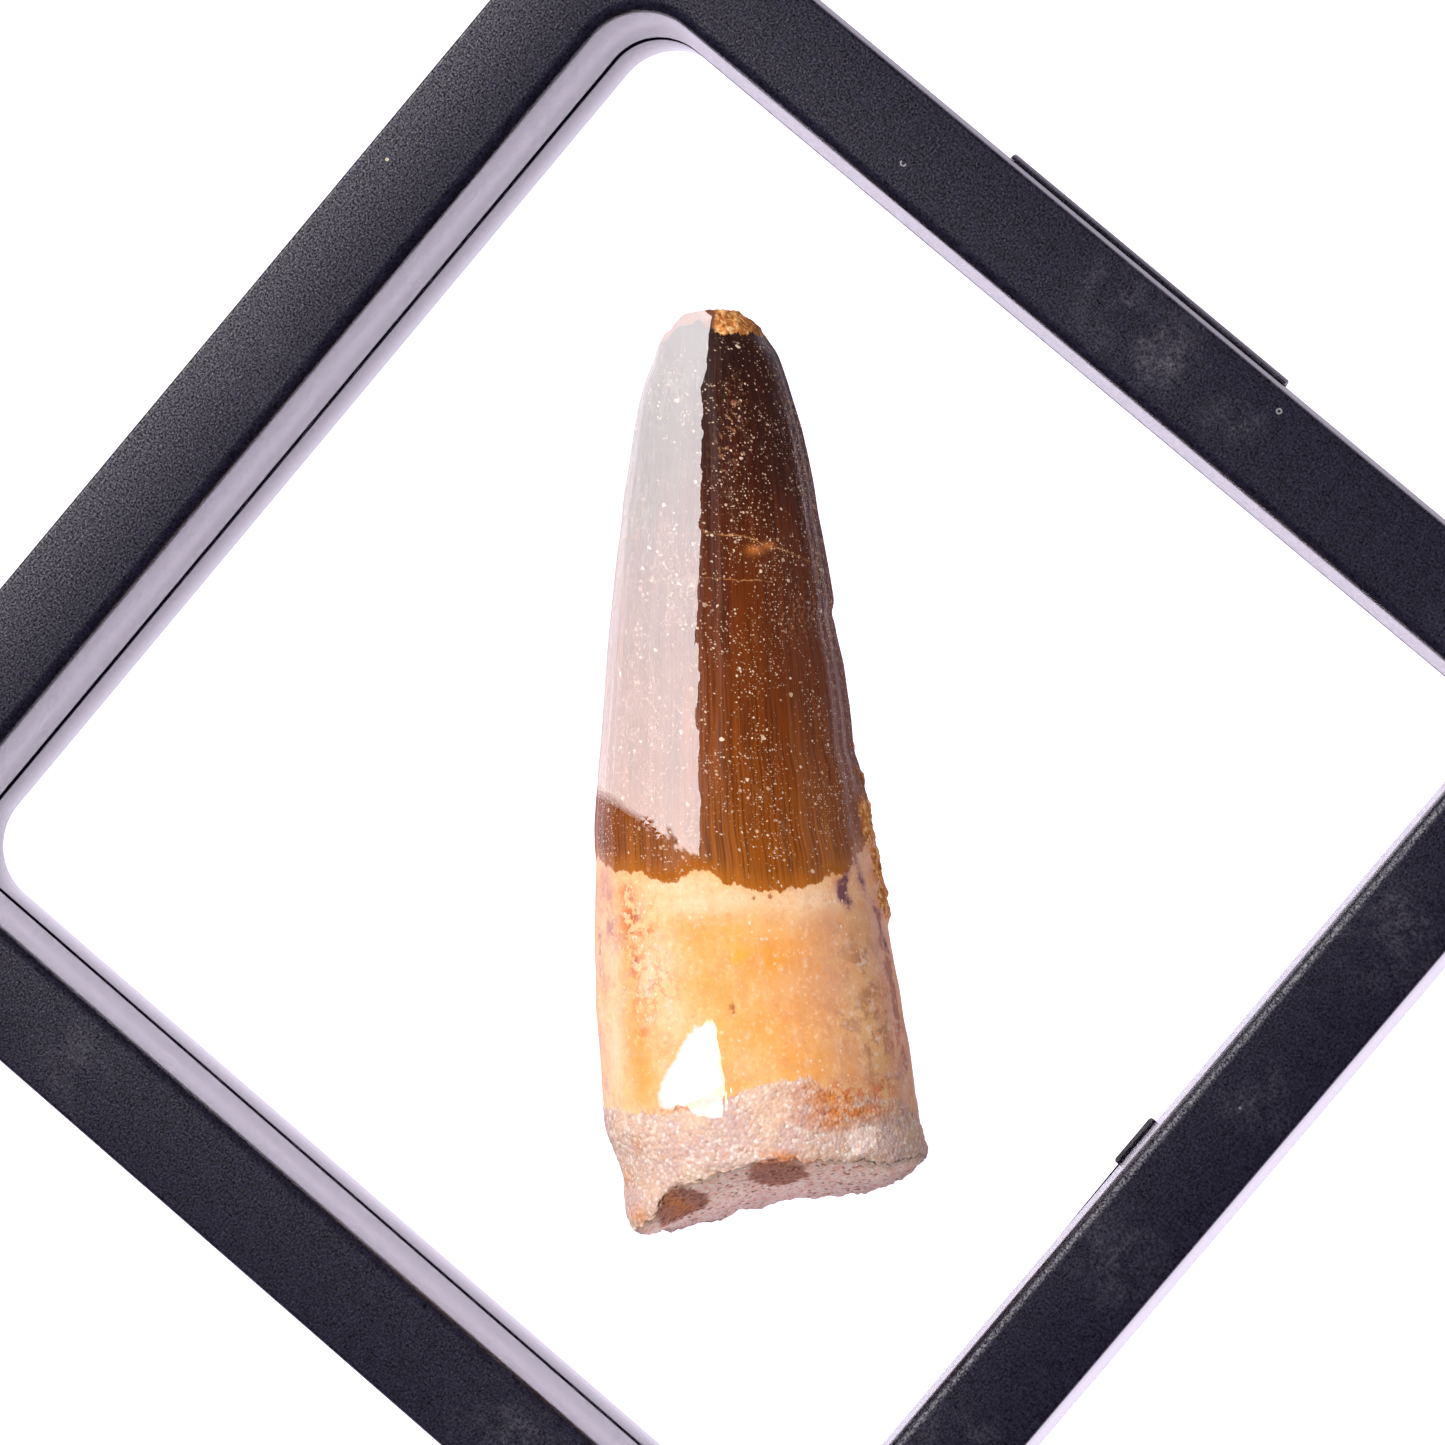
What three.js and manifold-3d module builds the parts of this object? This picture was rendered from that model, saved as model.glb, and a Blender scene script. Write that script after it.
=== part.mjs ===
// Fossil spinosaurus tooth held between two clear elastic films in a square hinged display frame.
// Millimetres, +Z up. The frame lies on its back face: the origin is the middle of that face.
// X and Y run along the sides of the frame. The hinge strip is on the +Y side, the thumb lip on the -Y side.
import * as THREE from 'three';
import { mergeVertices } from 'three/addons/utils/BufferGeometryUtils.js';
import Module from 'manifold-3d';

const wasm = await Module();
wasm.setup();

// ---------- driving dimensions ----------
const THICK = 20.0;            // frame thickness, both halves together
const MID = THICK / 2;         // height of the parting plane
const HALF_OUT_MID = 45.0;     // half the outer width at the parting plane
const HALF_OUT_FACE = 44.2;    // half the outer width at the front and back faces
const HALF_IN_MID = 36.97;     // half the inner opening at the parting plane
const HALF_IN_FACE = 37.46;    // half the inner opening at the faces, before the rounded edge
const R_EDGE_IN = 0.9;         // rounded inner edge of each face
const R_EDGE_OUT = 0.3;        // rounded outer edge of each face
const CORNER_IN = 33.1;        // centre of the inner corner arcs, from the middle
const CORNER_OUT = 41.0;       // centre of the outer corner arcs, from the middle
const SEAM = 0.35;             // from the parting plane to the end of each inner lip
const PART_GAP = 0.10;         // from the parting plane to the edge of each outer wall
const WALL_OUT = 1.3;          // outer wall
const FACE_WALL = 2.0;         // wall under the face
const LIP_OUTER = 38.15;       // channel side of the inner lip
const CORNER_SEGS = 6;

const RING_IN = 38.45, RING_OUT = 41.3, RING_LO = 0.5, RING_HI = 3.6;   // clamp ring section
const FILM_T = 0.25;           // film thickness
const FILM_LIFT = 0.05;        // from the parting plane to the film
const FILM_LEG_IN = 38.2, FILM_LEG_T = 0.2, FILM_LEG_H = 3.3;           // film folded up beside the lip
const FILM_GAP = 0.35;         // film to tooth

const HINGE_LEN = 23.8, HINGE_OUT = 45.45, HINGE_H = 1.45, HINGE_T = 0.3;
const LIP_LEN = 14.0, LIP_OUT = 45.45, LIP_H = 2.2;
const TAB_Y0 = -1.82, TAB_Y1 = 2.0, TAB_OUT = 0.49;

const TOOTH_TIP = [-20.331, 24.602];    // where the middle of the broken tip lies, seen from the front
const TOOTH_TURN = -46.585;             // direction from tip to base, degrees from +X
const TOOTH_DEPTH = 0.80;               // depth of a cross-section over its width
const TOOTH_P = 2.1;                    // roundness of a cross-section: 2 is an ellipse
const AROUND = 24;

// Outline of the tooth: distance from the tip, left edge, right edge.
const OUTLINE = [
  [0.15, -2.70, 1.20], [0.80, -3.75, 2.20], [2.0, -4.40, 2.93], [3.5, -4.95, 3.70], [5.0, -5.59, 4.13],
  [8.0, -6.36, 4.84], [12.0, -7.19, 5.50], [16.0, -7.88, 6.00], [20.0, -8.51, 6.42], [24.0, -9.06, 6.80],
  [28.0, -9.55, 7.14], [32.0, -10.10, 7.60], [36.0, -10.42, 8.05], [40.0, -10.74, 8.60], [44.0, -10.90, 9.15],
  [48.0, -10.93, 9.62], [52.0, -10.83, 10.05], [54.5, -10.62, 10.28],
];
const END_L = -9.75, END_R = 10.70;     // edges of the broken base
// The broken base slants: place of its front edge and of its back edge along the tooth, across the width.
const END_FRONT = [[-9.8, 60.3], [-8.2, 60.3], [-6.4, 58.8], [-5.3, 58.1], [-3.3, 57.7], [-1.0, 57.3], [2.2, 57.0], [8.4, 57.3], [10.8, 56.9]];
const END_BACK = [[-9.8, 60.9], [-8.9, 61.9], [-6.6, 62.0], [-4.1, 61.3], [-1.6, 60.4], [0.9, 60.0], [4.2, 60.1], [7.5, 59.8], [10.0, 58.5], [10.8, 58.0]];
const END_AT = 5.5;                     // height of those two edges from the middle of the tooth

// ---------- helpers ----------
const lerp = (a, b, t) => a + (b - a) * t;
function table(rows, x, k = 1) {
  if (x <= rows[0][0]) return rows[0][k];
  for (let i = 1; i < rows.length; i++)
    if (x <= rows[i][0]) return lerp(rows[i - 1][k], rows[i][k], (x - rows[i - 1][0]) / (rows[i][0] - rows[i - 1][0]));
  return rows[rows.length - 1][k];
}

function meshFrom(points, tris) {
  const g = new THREE.BufferGeometry();
  let vol = 0;
  for (const [a, b, c] of tris) {
    const A = points[a], B = points[b], C = points[c];
    vol += A[0] * (B[1] * C[2] - B[2] * C[1]) - A[1] * (B[0] * C[2] - B[2] * C[0]) + A[2] * (B[0] * C[1] - B[1] * C[0]);
  }
  const index = [];
  for (const [a, b, c] of tris) vol > 0 ? index.push(a, b, c) : index.push(a, c, b);
  g.setAttribute('position', new THREE.Float32BufferAttribute(points.flat(), 3));
  g.setIndex(index);
  return g;
}

// A closed section [half-size, height, corner centre] swept round a rounded square.
function sweptSquare(section, segs = CORNER_SEGS) {
  const loop = section.map(([a, z, c]) => {
    const r = a - c, pts = [];
    for (let k = 0; k < 4; k++)
      for (let i = 0; i <= segs; i++) {
        const t = (k + i / segs) * Math.PI / 2;
        const cx = (k === 0 || k === 3 ? 1 : -1) * c, cy = (k < 2 ? 1 : -1) * c;
        pts.push([cx + r * Math.cos(t), cy + r * Math.sin(t), z]);
      }
    return pts;
  });
  const n = loop[0].length, m = loop.length, points = loop.flat(), tris = [];
  for (let j = 0; j < m; j++)
    for (let i = 0; i < n; i++) {
      const a = j * n + i, b = j * n + (i + 1) % n, c = ((j + 1) % m) * n + i, d = ((j + 1) % m) * n + (i + 1) % n;
      tris.push([a, b, d], [a, d, c]);
    }
  return meshFrom(points, tris);
}

function toSolid(geometry) {
  const g = geometry.clone();
  for (const name of Object.keys(g.attributes)) if (name !== 'position') g.deleteAttribute(name);
  const w = mergeVertices(g, 1e-5);
  return new wasm.Manifold(new wasm.Mesh({
    numProp: 3, vertProperties: Float32Array.from(w.attributes.position.array), triVerts: Uint32Array.from(w.index.array),
  }));
}

function fromSolid(solid) {
  const m = solid.getMesh(), g = new THREE.BufferGeometry();
  g.setAttribute('position', new THREE.BufferAttribute(Float32Array.from(m.vertProperties), 3));
  g.setIndex(new THREE.BufferAttribute(Uint32Array.from(m.triVerts), 1));
  return g;
}

// An outline in X and Y with rounded corners, extruded from z0 to z1.
function plate(outline, z0, z1) {
  const s = new THREE.Shape();
  outline.forEach(([x, y, r = 0], i) => {
    const [px, py] = outline[(i + outline.length - 1) % outline.length], [nx, ny] = outline[(i + 1) % outline.length];
    if (!r) { i ? s.lineTo(x, y) : s.moveTo(x, y); return; }
    const lp = Math.hypot(px - x, py - y), ln = Math.hypot(nx - x, ny - y);
    const a = [x + (px - x) * r / lp, y + (py - y) * r / lp], b = [x + (nx - x) * r / ln, y + (ny - y) * r / ln];
    i ? s.lineTo(...a) : s.moveTo(...a);
    s.quadraticCurveTo(x, y, ...b);
  });
  s.closePath();
  const g = new THREE.ExtrudeGeometry(s, { depth: z1 - z0, bevelEnabled: false, curveSegments: 3 });
  g.translate(0, 0, z0);
  return g;
}

// A section in Y and Z extruded along X, centred on x = 0.
function bar(section, length) {
  const s = new THREE.Shape();
  section.forEach(([y, z], i) => (i ? s.lineTo(y, z) : s.moveTo(y, z)));
  s.closePath();
  const g = new THREE.ExtrudeGeometry(s, { depth: length, bevelEnabled: false });
  g.applyMatrix4(new THREE.Matrix4().set(0, 0, 1, -length / 2, 1, 0, 0, 0, 0, 1, 0, 0, 0, 0, 0, 1));
  return g;
}

// ---------- the tooth ----------
const halfWidth = (s) => (table(OUTLINE, s, 2) - table(OUTLINE, s, 1)) / 2;
const middle = (s) => (table(OUTLINE, s, 2) + table(OUTLINE, s, 1)) / 2;
const endAt = (r, h) => {
  const f = table(END_FRONT, r), b = table(END_BACK, r);
  return lerp(f, b, Math.min(1.25, Math.max(-0.25, (END_AT - h) / (2 * END_AT))));
};

function toothGeometry() {
  const points = [], tris = [];
  const around = [];
  for (let i = 0; i < AROUND; i++) {
    const t = i / AROUND * 2 * Math.PI, c = Math.cos(t), s = Math.sin(t), p = 2 / TOOTH_P;
    around.push([Math.sign(c) * Math.abs(c) ** p, Math.sign(s) * Math.abs(s) ** p]);
  }
  const rings = [];
  const ring = (f) => { rings.push(points.length); around.forEach(([c, s]) => points.push(f(c, s))); };
  const tip = points.length;
  points.push([0.0, -0.75, 0]);
  for (const [s] of OUTLINE)
    ring((c, d) => [s, middle(s) + halfWidth(s) * c, halfWidth(s) * TOOTH_DEPTH * d]);
  const mid = (END_L + END_R) / 2, half = (END_R - END_L) / 2, last = OUTLINE[OUTLINE.length - 1][0];
  const end = (along, grow, sink) => ring((c, d) => {
    const r = mid + half * c * grow, h = half * TOOTH_DEPTH * d * grow, e = endAt(r, h);
    return [lerp(last, e, along) - sink, r, h];
  });
  end(0.5, 1.01, 0);
  end(0.9, 1.0, 0);
  end(1.0, 0.95, 0.05);
  end(1.0, 0.55, 0.35);
  const base = points.length;
  points.push([endAt(mid, 0) - 0.5, mid, 0]);
  for (let k = 0; k + 1 < rings.length; k++)
    for (let i = 0; i < AROUND; i++) {
      const a = rings[k] + i, b = rings[k] + (i + 1) % AROUND, c = rings[k + 1] + i, d = rings[k + 1] + (i + 1) % AROUND;
      tris.push([a, b, d], [a, d, c]);
    }
  for (let i = 0; i < AROUND; i++) {
    tris.push([tip, rings[0] + (i + 1) % AROUND, rings[0] + i]);
    tris.push([base, rings[rings.length - 1] + i, rings[rings.length - 1] + (i + 1) % AROUND]);
  }
  return meshFrom(points, tris);
}

// Height of the tooth over the parting plane at a place in the frame, or 0 beside it.
const turn = TOOTH_TURN * Math.PI / 180, ux = Math.cos(turn), uy = Math.sin(turn);
function toothHeight(x, y, side) {
  const dx = x - TOOTH_TIP[0], dy = y - TOOTH_TIP[1], s = dx * ux + dy * uy, r = -dx * uy + dy * ux;
  if (s < 0 || s > 63) return 0;
  let m, w;
  if (s <= 54.5) { m = middle(s); w = halfWidth(s); } else { m = (END_L + END_R) / 2; w = (END_R - END_L) / 2 * 1.01; }
  const q = Math.abs(r - m) / w;
  if (q >= 1) return 0;
  const h = w * TOOTH_DEPTH * (1 - q ** TOOTH_P) ** (1 / TOOTH_P);
  return s > endAt(r, side * h) ? 0 : h;
}

// ---------- the films ----------
// Each film is drawn flat over its lip and pushed out by the tooth: a stretched skin over an obstacle.
const FINE = 80, SPAN = 38.5, STEP = 2 * SPAN / FINE, FREE = 36.9, FREE_R = 3.8;
function insideFree(x, y) {
  const ax = Math.abs(x), ay = Math.abs(y), c = FREE - FREE_R;
  if (ax >= FREE || ay >= FREE) return false;
  return !(ax > c && ay > c && Math.hypot(ax - c, ay - c) >= FREE_R);
}
function filmField(side) {
  const n = FINE + 1, at = (i) => -SPAN + i * STEP;
  const under = new Float64Array(n * n), f = new Float64Array(n * n), free = new Uint8Array(n * n);
  for (let j = 0; j < n; j++)
    for (let i = 0; i < n; i++) {
      free[j * n + i] = insideFree(at(i), at(j)) ? 1 : 0;
      let h = 0;
      for (let k = 0; k < 17; k++) {
        const rad = k ? (k < 9 ? 0.7 : 1.4) : 0, t = k * Math.PI / 4;
        h = Math.max(h, toothHeight(at(i) + rad * Math.cos(t), at(j) + rad * Math.sin(t), side));
      }
      under[j * n + i] = h > 0 ? h + FILM_GAP : 0;
    }
  for (let pass = 0; pass < 500; pass++)
    for (let j = 1; j < n - 1; j++)
      for (let i = 1; i < n - 1; i++) {
        const k = j * n + i;
        if (!free[k]) continue;
        const mean = (f[k - 1] + f[k + 1] + f[k - n] + f[k + n]) / 4;
        f[k] = Math.max(under[k], f[k] + 1.85 * (mean - f[k]));
      }
  return (x, y) => {
    if (!insideFree(x, y)) return 0;
    const u = (x + SPAN) / STEP, v = (y + SPAN) / STEP, i = Math.floor(u), j = Math.floor(v), a = u - i, b = v - j;
    return lerp(lerp(f[j * n + i], f[j * n + i + 1], a), lerp(f[(j + 1) * n + i], f[(j + 1) * n + i + 1], a), b);
  };
}

const CELLS = 24;                       // cells across the free part of a film
function filmGeometry(side) {
  const field = filmField(side), line = [-SPAN];
  for (let i = 0; i <= CELLS; i++) line.push(-FREE + i * 2 * FREE / CELLS);
  line.push(SPAN);
  const n = line.length, points = [], tris = [], near = line[n - 3];
  for (const top of [0, 1])
    for (const y of line)
      for (const x of line) {
        const corner = Math.abs(x) > near - 0.01 && Math.abs(y) > near - 0.01;
        const h = (corner ? 0 : field(x, y)) + FILM_LIFT + top * FILM_T;
        points.push([x, y, MID + side * h]);
      }
  const id = (t, j, i) => t * n * n + j * n + i;
  for (let j = 0; j + 1 < n; j++)
    for (let i = 0; i + 1 < n; i++)
      for (const t of [0, 1]) {
        const a = id(t, j, i), b = id(t, j, i + 1), c = id(t, j + 1, i), d = id(t, j + 1, i + 1);
        // The tooth lies along one diagonal, so the cells are split along the same one.
        t ? tris.push([a, b, c], [b, d, c]) : tris.push([a, c, b], [b, c, d]);
      }
  for (let k = 0; k + 1 < n; k++) {
    const wall = (p, q) => tris.push([p, q, q + n * n], [p, q + n * n, p + n * n]);
    wall(id(0, 0, k), id(0, 0, k + 1));
    wall(id(0, k, n - 1), id(0, k + 1, n - 1));
    wall(id(0, n - 1, k + 1), id(0, n - 1, k));
    wall(id(0, k + 1, 0), id(0, k, 0));
  }
  const sheet = toSolid(meshFrom(points, tris));
  const z = (h) => MID + side * h, edge = FILM_LEG_IN + FILM_LEG_T / 2, r = edge - CORNER_IN, outline = [];
  for (let k = 0; k < 4; k++)
    for (let i = 0; i <= CORNER_SEGS; i++) {
      const t = (k + i / CORNER_SEGS) * Math.PI / 2;
      outline.push([(k === 0 || k === 3 ? 1 : -1) * CORNER_IN + r * Math.cos(t), (k < 2 ? 1 : -1) * CORNER_IN + r * Math.sin(t)]);
    }
  const trim = toSolid(plate(outline, -1, THICK + 1));
  const leg = toSolid(sweptSquare([
    [FILM_LEG_IN, z(FILM_LIFT + 0.02), CORNER_IN], [FILM_LEG_IN + FILM_LEG_T, z(FILM_LIFT + 0.02), CORNER_IN],
    [FILM_LEG_IN + FILM_LEG_T, z(FILM_LEG_H), CORNER_IN], [FILM_LEG_IN, z(FILM_LEG_H), CORNER_IN],
  ]));
  return fromSolid(sheet.intersect(trim).add(leg));
}

// ---------- the bezels ----------
// One half of the frame is a channel: face, outer wall and inner lip, open towards the parting plane.
function bezelSection(side) {
  const slopeIn = (HALF_IN_FACE - HALF_IN_MID) / MID, slopeOut = (HALF_OUT_MID - HALF_OUT_FACE) / MID;
  const inner = (h) => HALF_IN_MID + slopeIn * h, outer = (h) => HALF_OUT_MID - slopeOut * h;
  const p = [], ci = CORNER_IN, co = CORNER_OUT;
  p.push([inner(0) + 0.13, SEAM, ci], [inner(SEAM + 0.15), SEAM + 0.15, ci]);
  const h0 = MID - R_EDGE_IN, cx = inner(h0) + R_EDGE_IN;
  for (let i = 0; i <= 3; i++) {
    const t = Math.PI - i * Math.PI / 6;
    p.push([cx + R_EDGE_IN * Math.cos(t), h0 + R_EDGE_IN * Math.sin(t), ci]);
  }
  const ox = outer(MID - R_EDGE_OUT) - R_EDGE_OUT;
  for (const t of [90, 45, 5]) p.push([ox + R_EDGE_OUT * Math.cos(t * Math.PI / 180), MID - R_EDGE_OUT + R_EDGE_OUT * Math.sin(t * Math.PI / 180), co]);
  p.push([outer(PART_GAP + 0.14), PART_GAP + 0.14, co], [outer(0) - 0.16, PART_GAP, co]);
  p.push([HALF_OUT_MID - 0.1 - WALL_OUT, PART_GAP, co], [HALF_OUT_FACE - WALL_OUT, MID - FACE_WALL, co]);
  p.push([LIP_OUTER + 0.6, MID - FACE_WALL, ci], [LIP_OUTER, MID - FACE_WALL - 0.6, ci]);
  p.push([LIP_OUTER, SEAM + 0.1, ci], [LIP_OUTER - 0.1, SEAM, ci]);
  return p.map(([a, h, c]) => [a, MID + side * h, c]);
}

// The front half carries the thumb lip and the tongue that pushes into the back half.
let front = toSolid(sweptSquare(bezelSection(1)));
const lipHalf = LIP_LEN / 2;
front = front.add(toSolid(plate([[-lipHalf, -LIP_OUT, 0.4], [lipHalf, -LIP_OUT, 0.4], [lipHalf, -44.0], [-lipHalf, -44.0]],
  MID + PART_GAP, MID + PART_GAP + LIP_H)));
front = front.add(toSolid(bar([
  [-43.9, MID + 0.6], [-43.9, MID + 3.2], [-42.4, MID + 3.8], [-42.3, MID + 3.4], [-42.3, MID - 2.2], [-42.5, MID - 2.6],
  [-42.8, MID - 2.6], [-43.15, MID - 2.1], [-43.15, MID - 1.5], [-42.95, MID - 1.1], [-42.95, MID + 0.3],
], 10)));

// The back half carries a small tab and a thin flash line on the edge of its lip, and a finger notch under the thumb lip.
let back = toSolid(sweptSquare(bezelSection(-1)));
const lipAt = HALF_IN_MID + 0.02;
back = back.add(toSolid(plate([[lipAt - TAB_OUT, TAB_Y0, 0.3], [37.7, TAB_Y0], [37.7, TAB_Y1], [lipAt - TAB_OUT, TAB_Y1, 0.3]],
  MID - SEAM - 0.85, MID - SEAM - 0.25)));
back = back.add(toSolid(plate([[lipAt - 0.11, TAB_Y0 + 0.05], [lipAt + 0.02, -9.0], [37.6, -9.0], [37.6, TAB_Y0 + 0.05]],
  MID - SEAM - 0.60, MID - SEAM - 0.30)));
back = back.subtract(toSolid(plate([[-6, -46], [6, -46], [6, -44.35, 0.3], [-6, -44.35, 0.3]], MID - 1.7, MID + 0.5)));

// ---------- the hinge strip: a thin arch moulded across the parting line ----------
const arch = [[44.97, HINGE_H], [45.22, HINGE_H - 0.18], [45.40, HINGE_H - 0.6], [HINGE_OUT, 0]];
const archIn = [[45.06, 0], [45.06, 0.55], [45.01, HINGE_H - 0.45], [44.94, HINGE_H - 0.12]];
const archOut = [...arch, ...arch.slice(0, 3).reverse().map(([y, h]) => [y, -h])];
const archBack = [...archIn.slice(1).reverse().map(([y, h]) => [y, -h]), ...archIn];
const hingeSection = [...archOut, ...archBack].map(([y, h]) => [y, MID + h]);

// ---------- clamp rings ----------
function ringGeometry(side) {
  const c = 0.2, a = RING_IN, b = RING_OUT, ci = CORNER_IN, co = 38.3;
  return sweptSquare([
    [a, RING_LO + c, ci], [a + c, RING_LO, ci], [b - c, RING_LO, co], [b, RING_LO + c, co],
    [b, RING_HI - c, co], [b - c, RING_HI, co], [a + c, RING_HI, ci], [a, RING_HI - c, ci],
  ].map(([r, h, cc]) => [r, MID + side * h, cc]));
}

// ---------- the scene graph ----------
const plastic = () => new THREE.MeshStandardMaterial({ color: 0x2c2b33, roughness: 0.5, metalness: 0 });
const film = () => new THREE.MeshStandardMaterial({ color: 0xf6fafc, roughness: 0.05, metalness: 0, transparent: true, opacity: 0.25 });

const framedTooth = new THREE.Group();
function add(parent, name, geometry, material) {
  const mesh = new THREE.Mesh(geometry, material);
  mesh.name = name;
  parent.add(mesh);
  return mesh;
}

const backHalf = new THREE.Group(), frontHalf = new THREE.Group();
framedTooth.add(backHalf, frontHalf);
add(backHalf, 'back_bezel', fromSolid(back), plastic());
add(backHalf, 'back_clamp_ring', ringGeometry(-1), plastic());
add(backHalf, 'back_film', filmGeometry(-1), film());
add(backHalf, 'hinge_web', bar(hingeSection, HINGE_LEN), plastic());
const tooth = add(backHalf, 'tooth', toothGeometry(), new THREE.MeshStandardMaterial({ color: 0x8a5326, roughness: 0.45, metalness: 0 }));
tooth.position.set(TOOTH_TIP[0], TOOTH_TIP[1], MID);
tooth.rotation.z = turn;
add(frontHalf, 'front_bezel', fromSolid(front), plastic());
add(frontHalf, 'front_clamp_ring', ringGeometry(1), plastic());
add(frontHalf, 'front_film', filmGeometry(1), film());

export default framedTooth;
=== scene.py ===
"""Looks of the framed fossil tooth: two clear elastic films hold it inside a square black hinged frame."""
import math

import bpy
import numpy as np
from mathutils import Matrix, Vector


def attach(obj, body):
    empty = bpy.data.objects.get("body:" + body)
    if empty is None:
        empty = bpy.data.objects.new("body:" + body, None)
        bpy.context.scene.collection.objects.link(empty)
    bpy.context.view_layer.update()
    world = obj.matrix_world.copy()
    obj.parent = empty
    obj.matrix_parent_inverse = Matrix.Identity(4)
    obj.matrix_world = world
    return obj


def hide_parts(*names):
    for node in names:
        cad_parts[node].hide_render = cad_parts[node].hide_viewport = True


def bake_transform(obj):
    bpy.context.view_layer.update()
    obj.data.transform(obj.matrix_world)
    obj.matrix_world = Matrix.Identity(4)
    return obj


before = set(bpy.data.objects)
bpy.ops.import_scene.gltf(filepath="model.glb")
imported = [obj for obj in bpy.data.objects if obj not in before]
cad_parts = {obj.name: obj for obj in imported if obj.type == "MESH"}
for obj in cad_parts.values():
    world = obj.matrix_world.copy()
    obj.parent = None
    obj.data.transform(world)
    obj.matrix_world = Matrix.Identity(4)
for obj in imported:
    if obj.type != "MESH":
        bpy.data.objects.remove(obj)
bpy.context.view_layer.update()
MM = 0.001
MID = 10.0                      # height of the parting plane, mm


# =====================================================================================
# numbers: noise, steps, tables
# =====================================================================================
def lattice(ix, iy, iz, seed):
    h = (ix * 374761393 + iy * 668265263 + iz * 1274126177 + seed * 974634777) & 0xFFFFFFFF
    h = ((h ^ (h >> 13)) * 1274126177) & 0xFFFFFFFF
    return (h ^ (h >> 16)) & 0xFFFFFFFF


def noise3(p, scale, seed=0):
    """Gradient noise at points p (N x 3, mm), about -1..1, with features about `scale` across."""
    q = np.asarray(p, float) / np.asarray(scale, float)
    i = np.floor(q).astype(np.int64)
    f = q - i
    u = f * f * f * (f * (f * 6 - 15) + 10)
    out = np.zeros(len(q))
    for dx in (0, 1):
        for dy in (0, 1):
            for dz in (0, 1):
                h = lattice(i[:, 0] + dx, i[:, 1] + dy, i[:, 2] + dz, seed)
                g = [((h >> s) & 1023) / 511.5 - 1 for s in (0, 10, 20)]
                w = ((u[:, 0] if dx else 1 - u[:, 0]) * (u[:, 1] if dy else 1 - u[:, 1])
                     * (u[:, 2] if dz else 1 - u[:, 2]))
                out += w * (g[0] * (f[:, 0] - dx) + g[1] * (f[:, 1] - dy) + g[2] * (f[:, 2] - dz))
    return out * 1.5


def fbm(p, scale, octaves=3, seed=0, gain=0.5):
    out, amp, total = 0.0, 1.0, 0.0
    for k in range(octaves):
        out = out + amp * noise3(p, np.asarray(scale, float) / 2 ** k, seed + 17 * k)
        total += amp
        amp *= gain
    return out / total * 1.2


def cells(p, scale, seed=0):
    """Distance to the nearest of scattered points, one in each cell of `scale` mm, and a number 0..1 for that point."""
    q = np.asarray(p, float) / scale
    i = np.floor(q).astype(np.int64)
    best, which = np.full(len(q), 9.0), np.zeros(len(q))
    for dx in (-1, 0, 1):
        for dy in (-1, 0, 1):
            for dz in (-1, 0, 1):
                a, b, c = i[:, 0] + dx, i[:, 1] + dy, i[:, 2] + dz
                h = lattice(a, b, c, seed)
                x = a + ((h & 1023) / 1023.0) * 0.9
                y = b + (((h >> 10) & 1023) / 1023.0) * 0.9
                z = c + (((h >> 20) & 1023) / 1023.0) * 0.9
                d = np.sqrt((q[:, 0] - x) ** 2 + (q[:, 1] - y) ** 2 + (q[:, 2] - z) ** 2)
                near = d < best
                best[near] = d[near]
                which[near] = (((h >> 5) & 255) / 255.0)[near]
    return best, which


def ease(x, lo, hi):
    t = np.clip((x - lo) / (hi - lo), 0, 1)
    return t * t * (3 - 2 * t)


def steps(rows, x):
    return np.interp(x, [a for a, _ in rows], [b for _, b in rows])


def blur(f, n=1):
    for _ in range(n):
        g = np.pad(f, 1, mode="edge")
        f = (g[:-2, 1:-1] + g[2:, 1:-1] + g[1:-1, :-2] + g[1:-1, 2:] + 4 * f) / 8
    return f


def lin(r, g, b):
    """A colour read off as 0..255 screen values, as the linear colour that shaders take."""
    return tuple((c / 255 / 12.92) if c / 255 <= 0.04045 else ((c / 255 + 0.055) / 1.055) ** 2.4 for c in (r, g, b)) + (1.0,)


# =====================================================================================
# meshes
# =====================================================================================
def volume(points, faces):
    v = 0.0
    for f in faces:
        f = np.asarray(f)
        a, b, c = points[f[:, 0]], points[f[:, 1]], points[f[:, 2]]
        v += np.einsum("ij,ij->", a, np.cross(b, c))
        if f.shape[1] == 4:
            v += np.einsum("ij,ij->", a, np.cross(c, points[f[:, 3]]))
    return v


def make(name, points, faces, sharp=None):
    """A mesh object from points in mm and lists of quads and triangles, with its faces turned out."""
    faces = [np.asarray(f, np.int64) for f in faces if len(f)]
    if volume(points, faces) < 0:
        faces = [f[:, ::-1] for f in faces]
    me = bpy.data.meshes.new(name)
    me.vertices.add(len(points))
    me.vertices.foreach_set("co", (np.asarray(points, float) * MM).astype(np.float32).ravel())
    loops = np.concatenate([f.ravel() for f in faces])
    sizes = np.concatenate([np.full(len(f), f.shape[1]) for f in faces])
    me.loops.add(len(loops))
    me.loops.foreach_set("vertex_index", loops.astype(np.int32))
    me.polygons.add(len(sizes))
    me.polygons.foreach_set("loop_start", (np.cumsum(sizes) - sizes).astype(np.int32))
    me.polygons.foreach_set("loop_total", sizes.astype(np.int32))
    me.update(calc_edges=True)
    me.validate()
    me.shade_smooth()
    if sharp is not None:
        me.set_sharp_from_angle(angle=math.radians(sharp))
    o = bpy.data.objects.new(name, me)
    bpy.context.scene.collection.objects.link(o)
    return o


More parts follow.
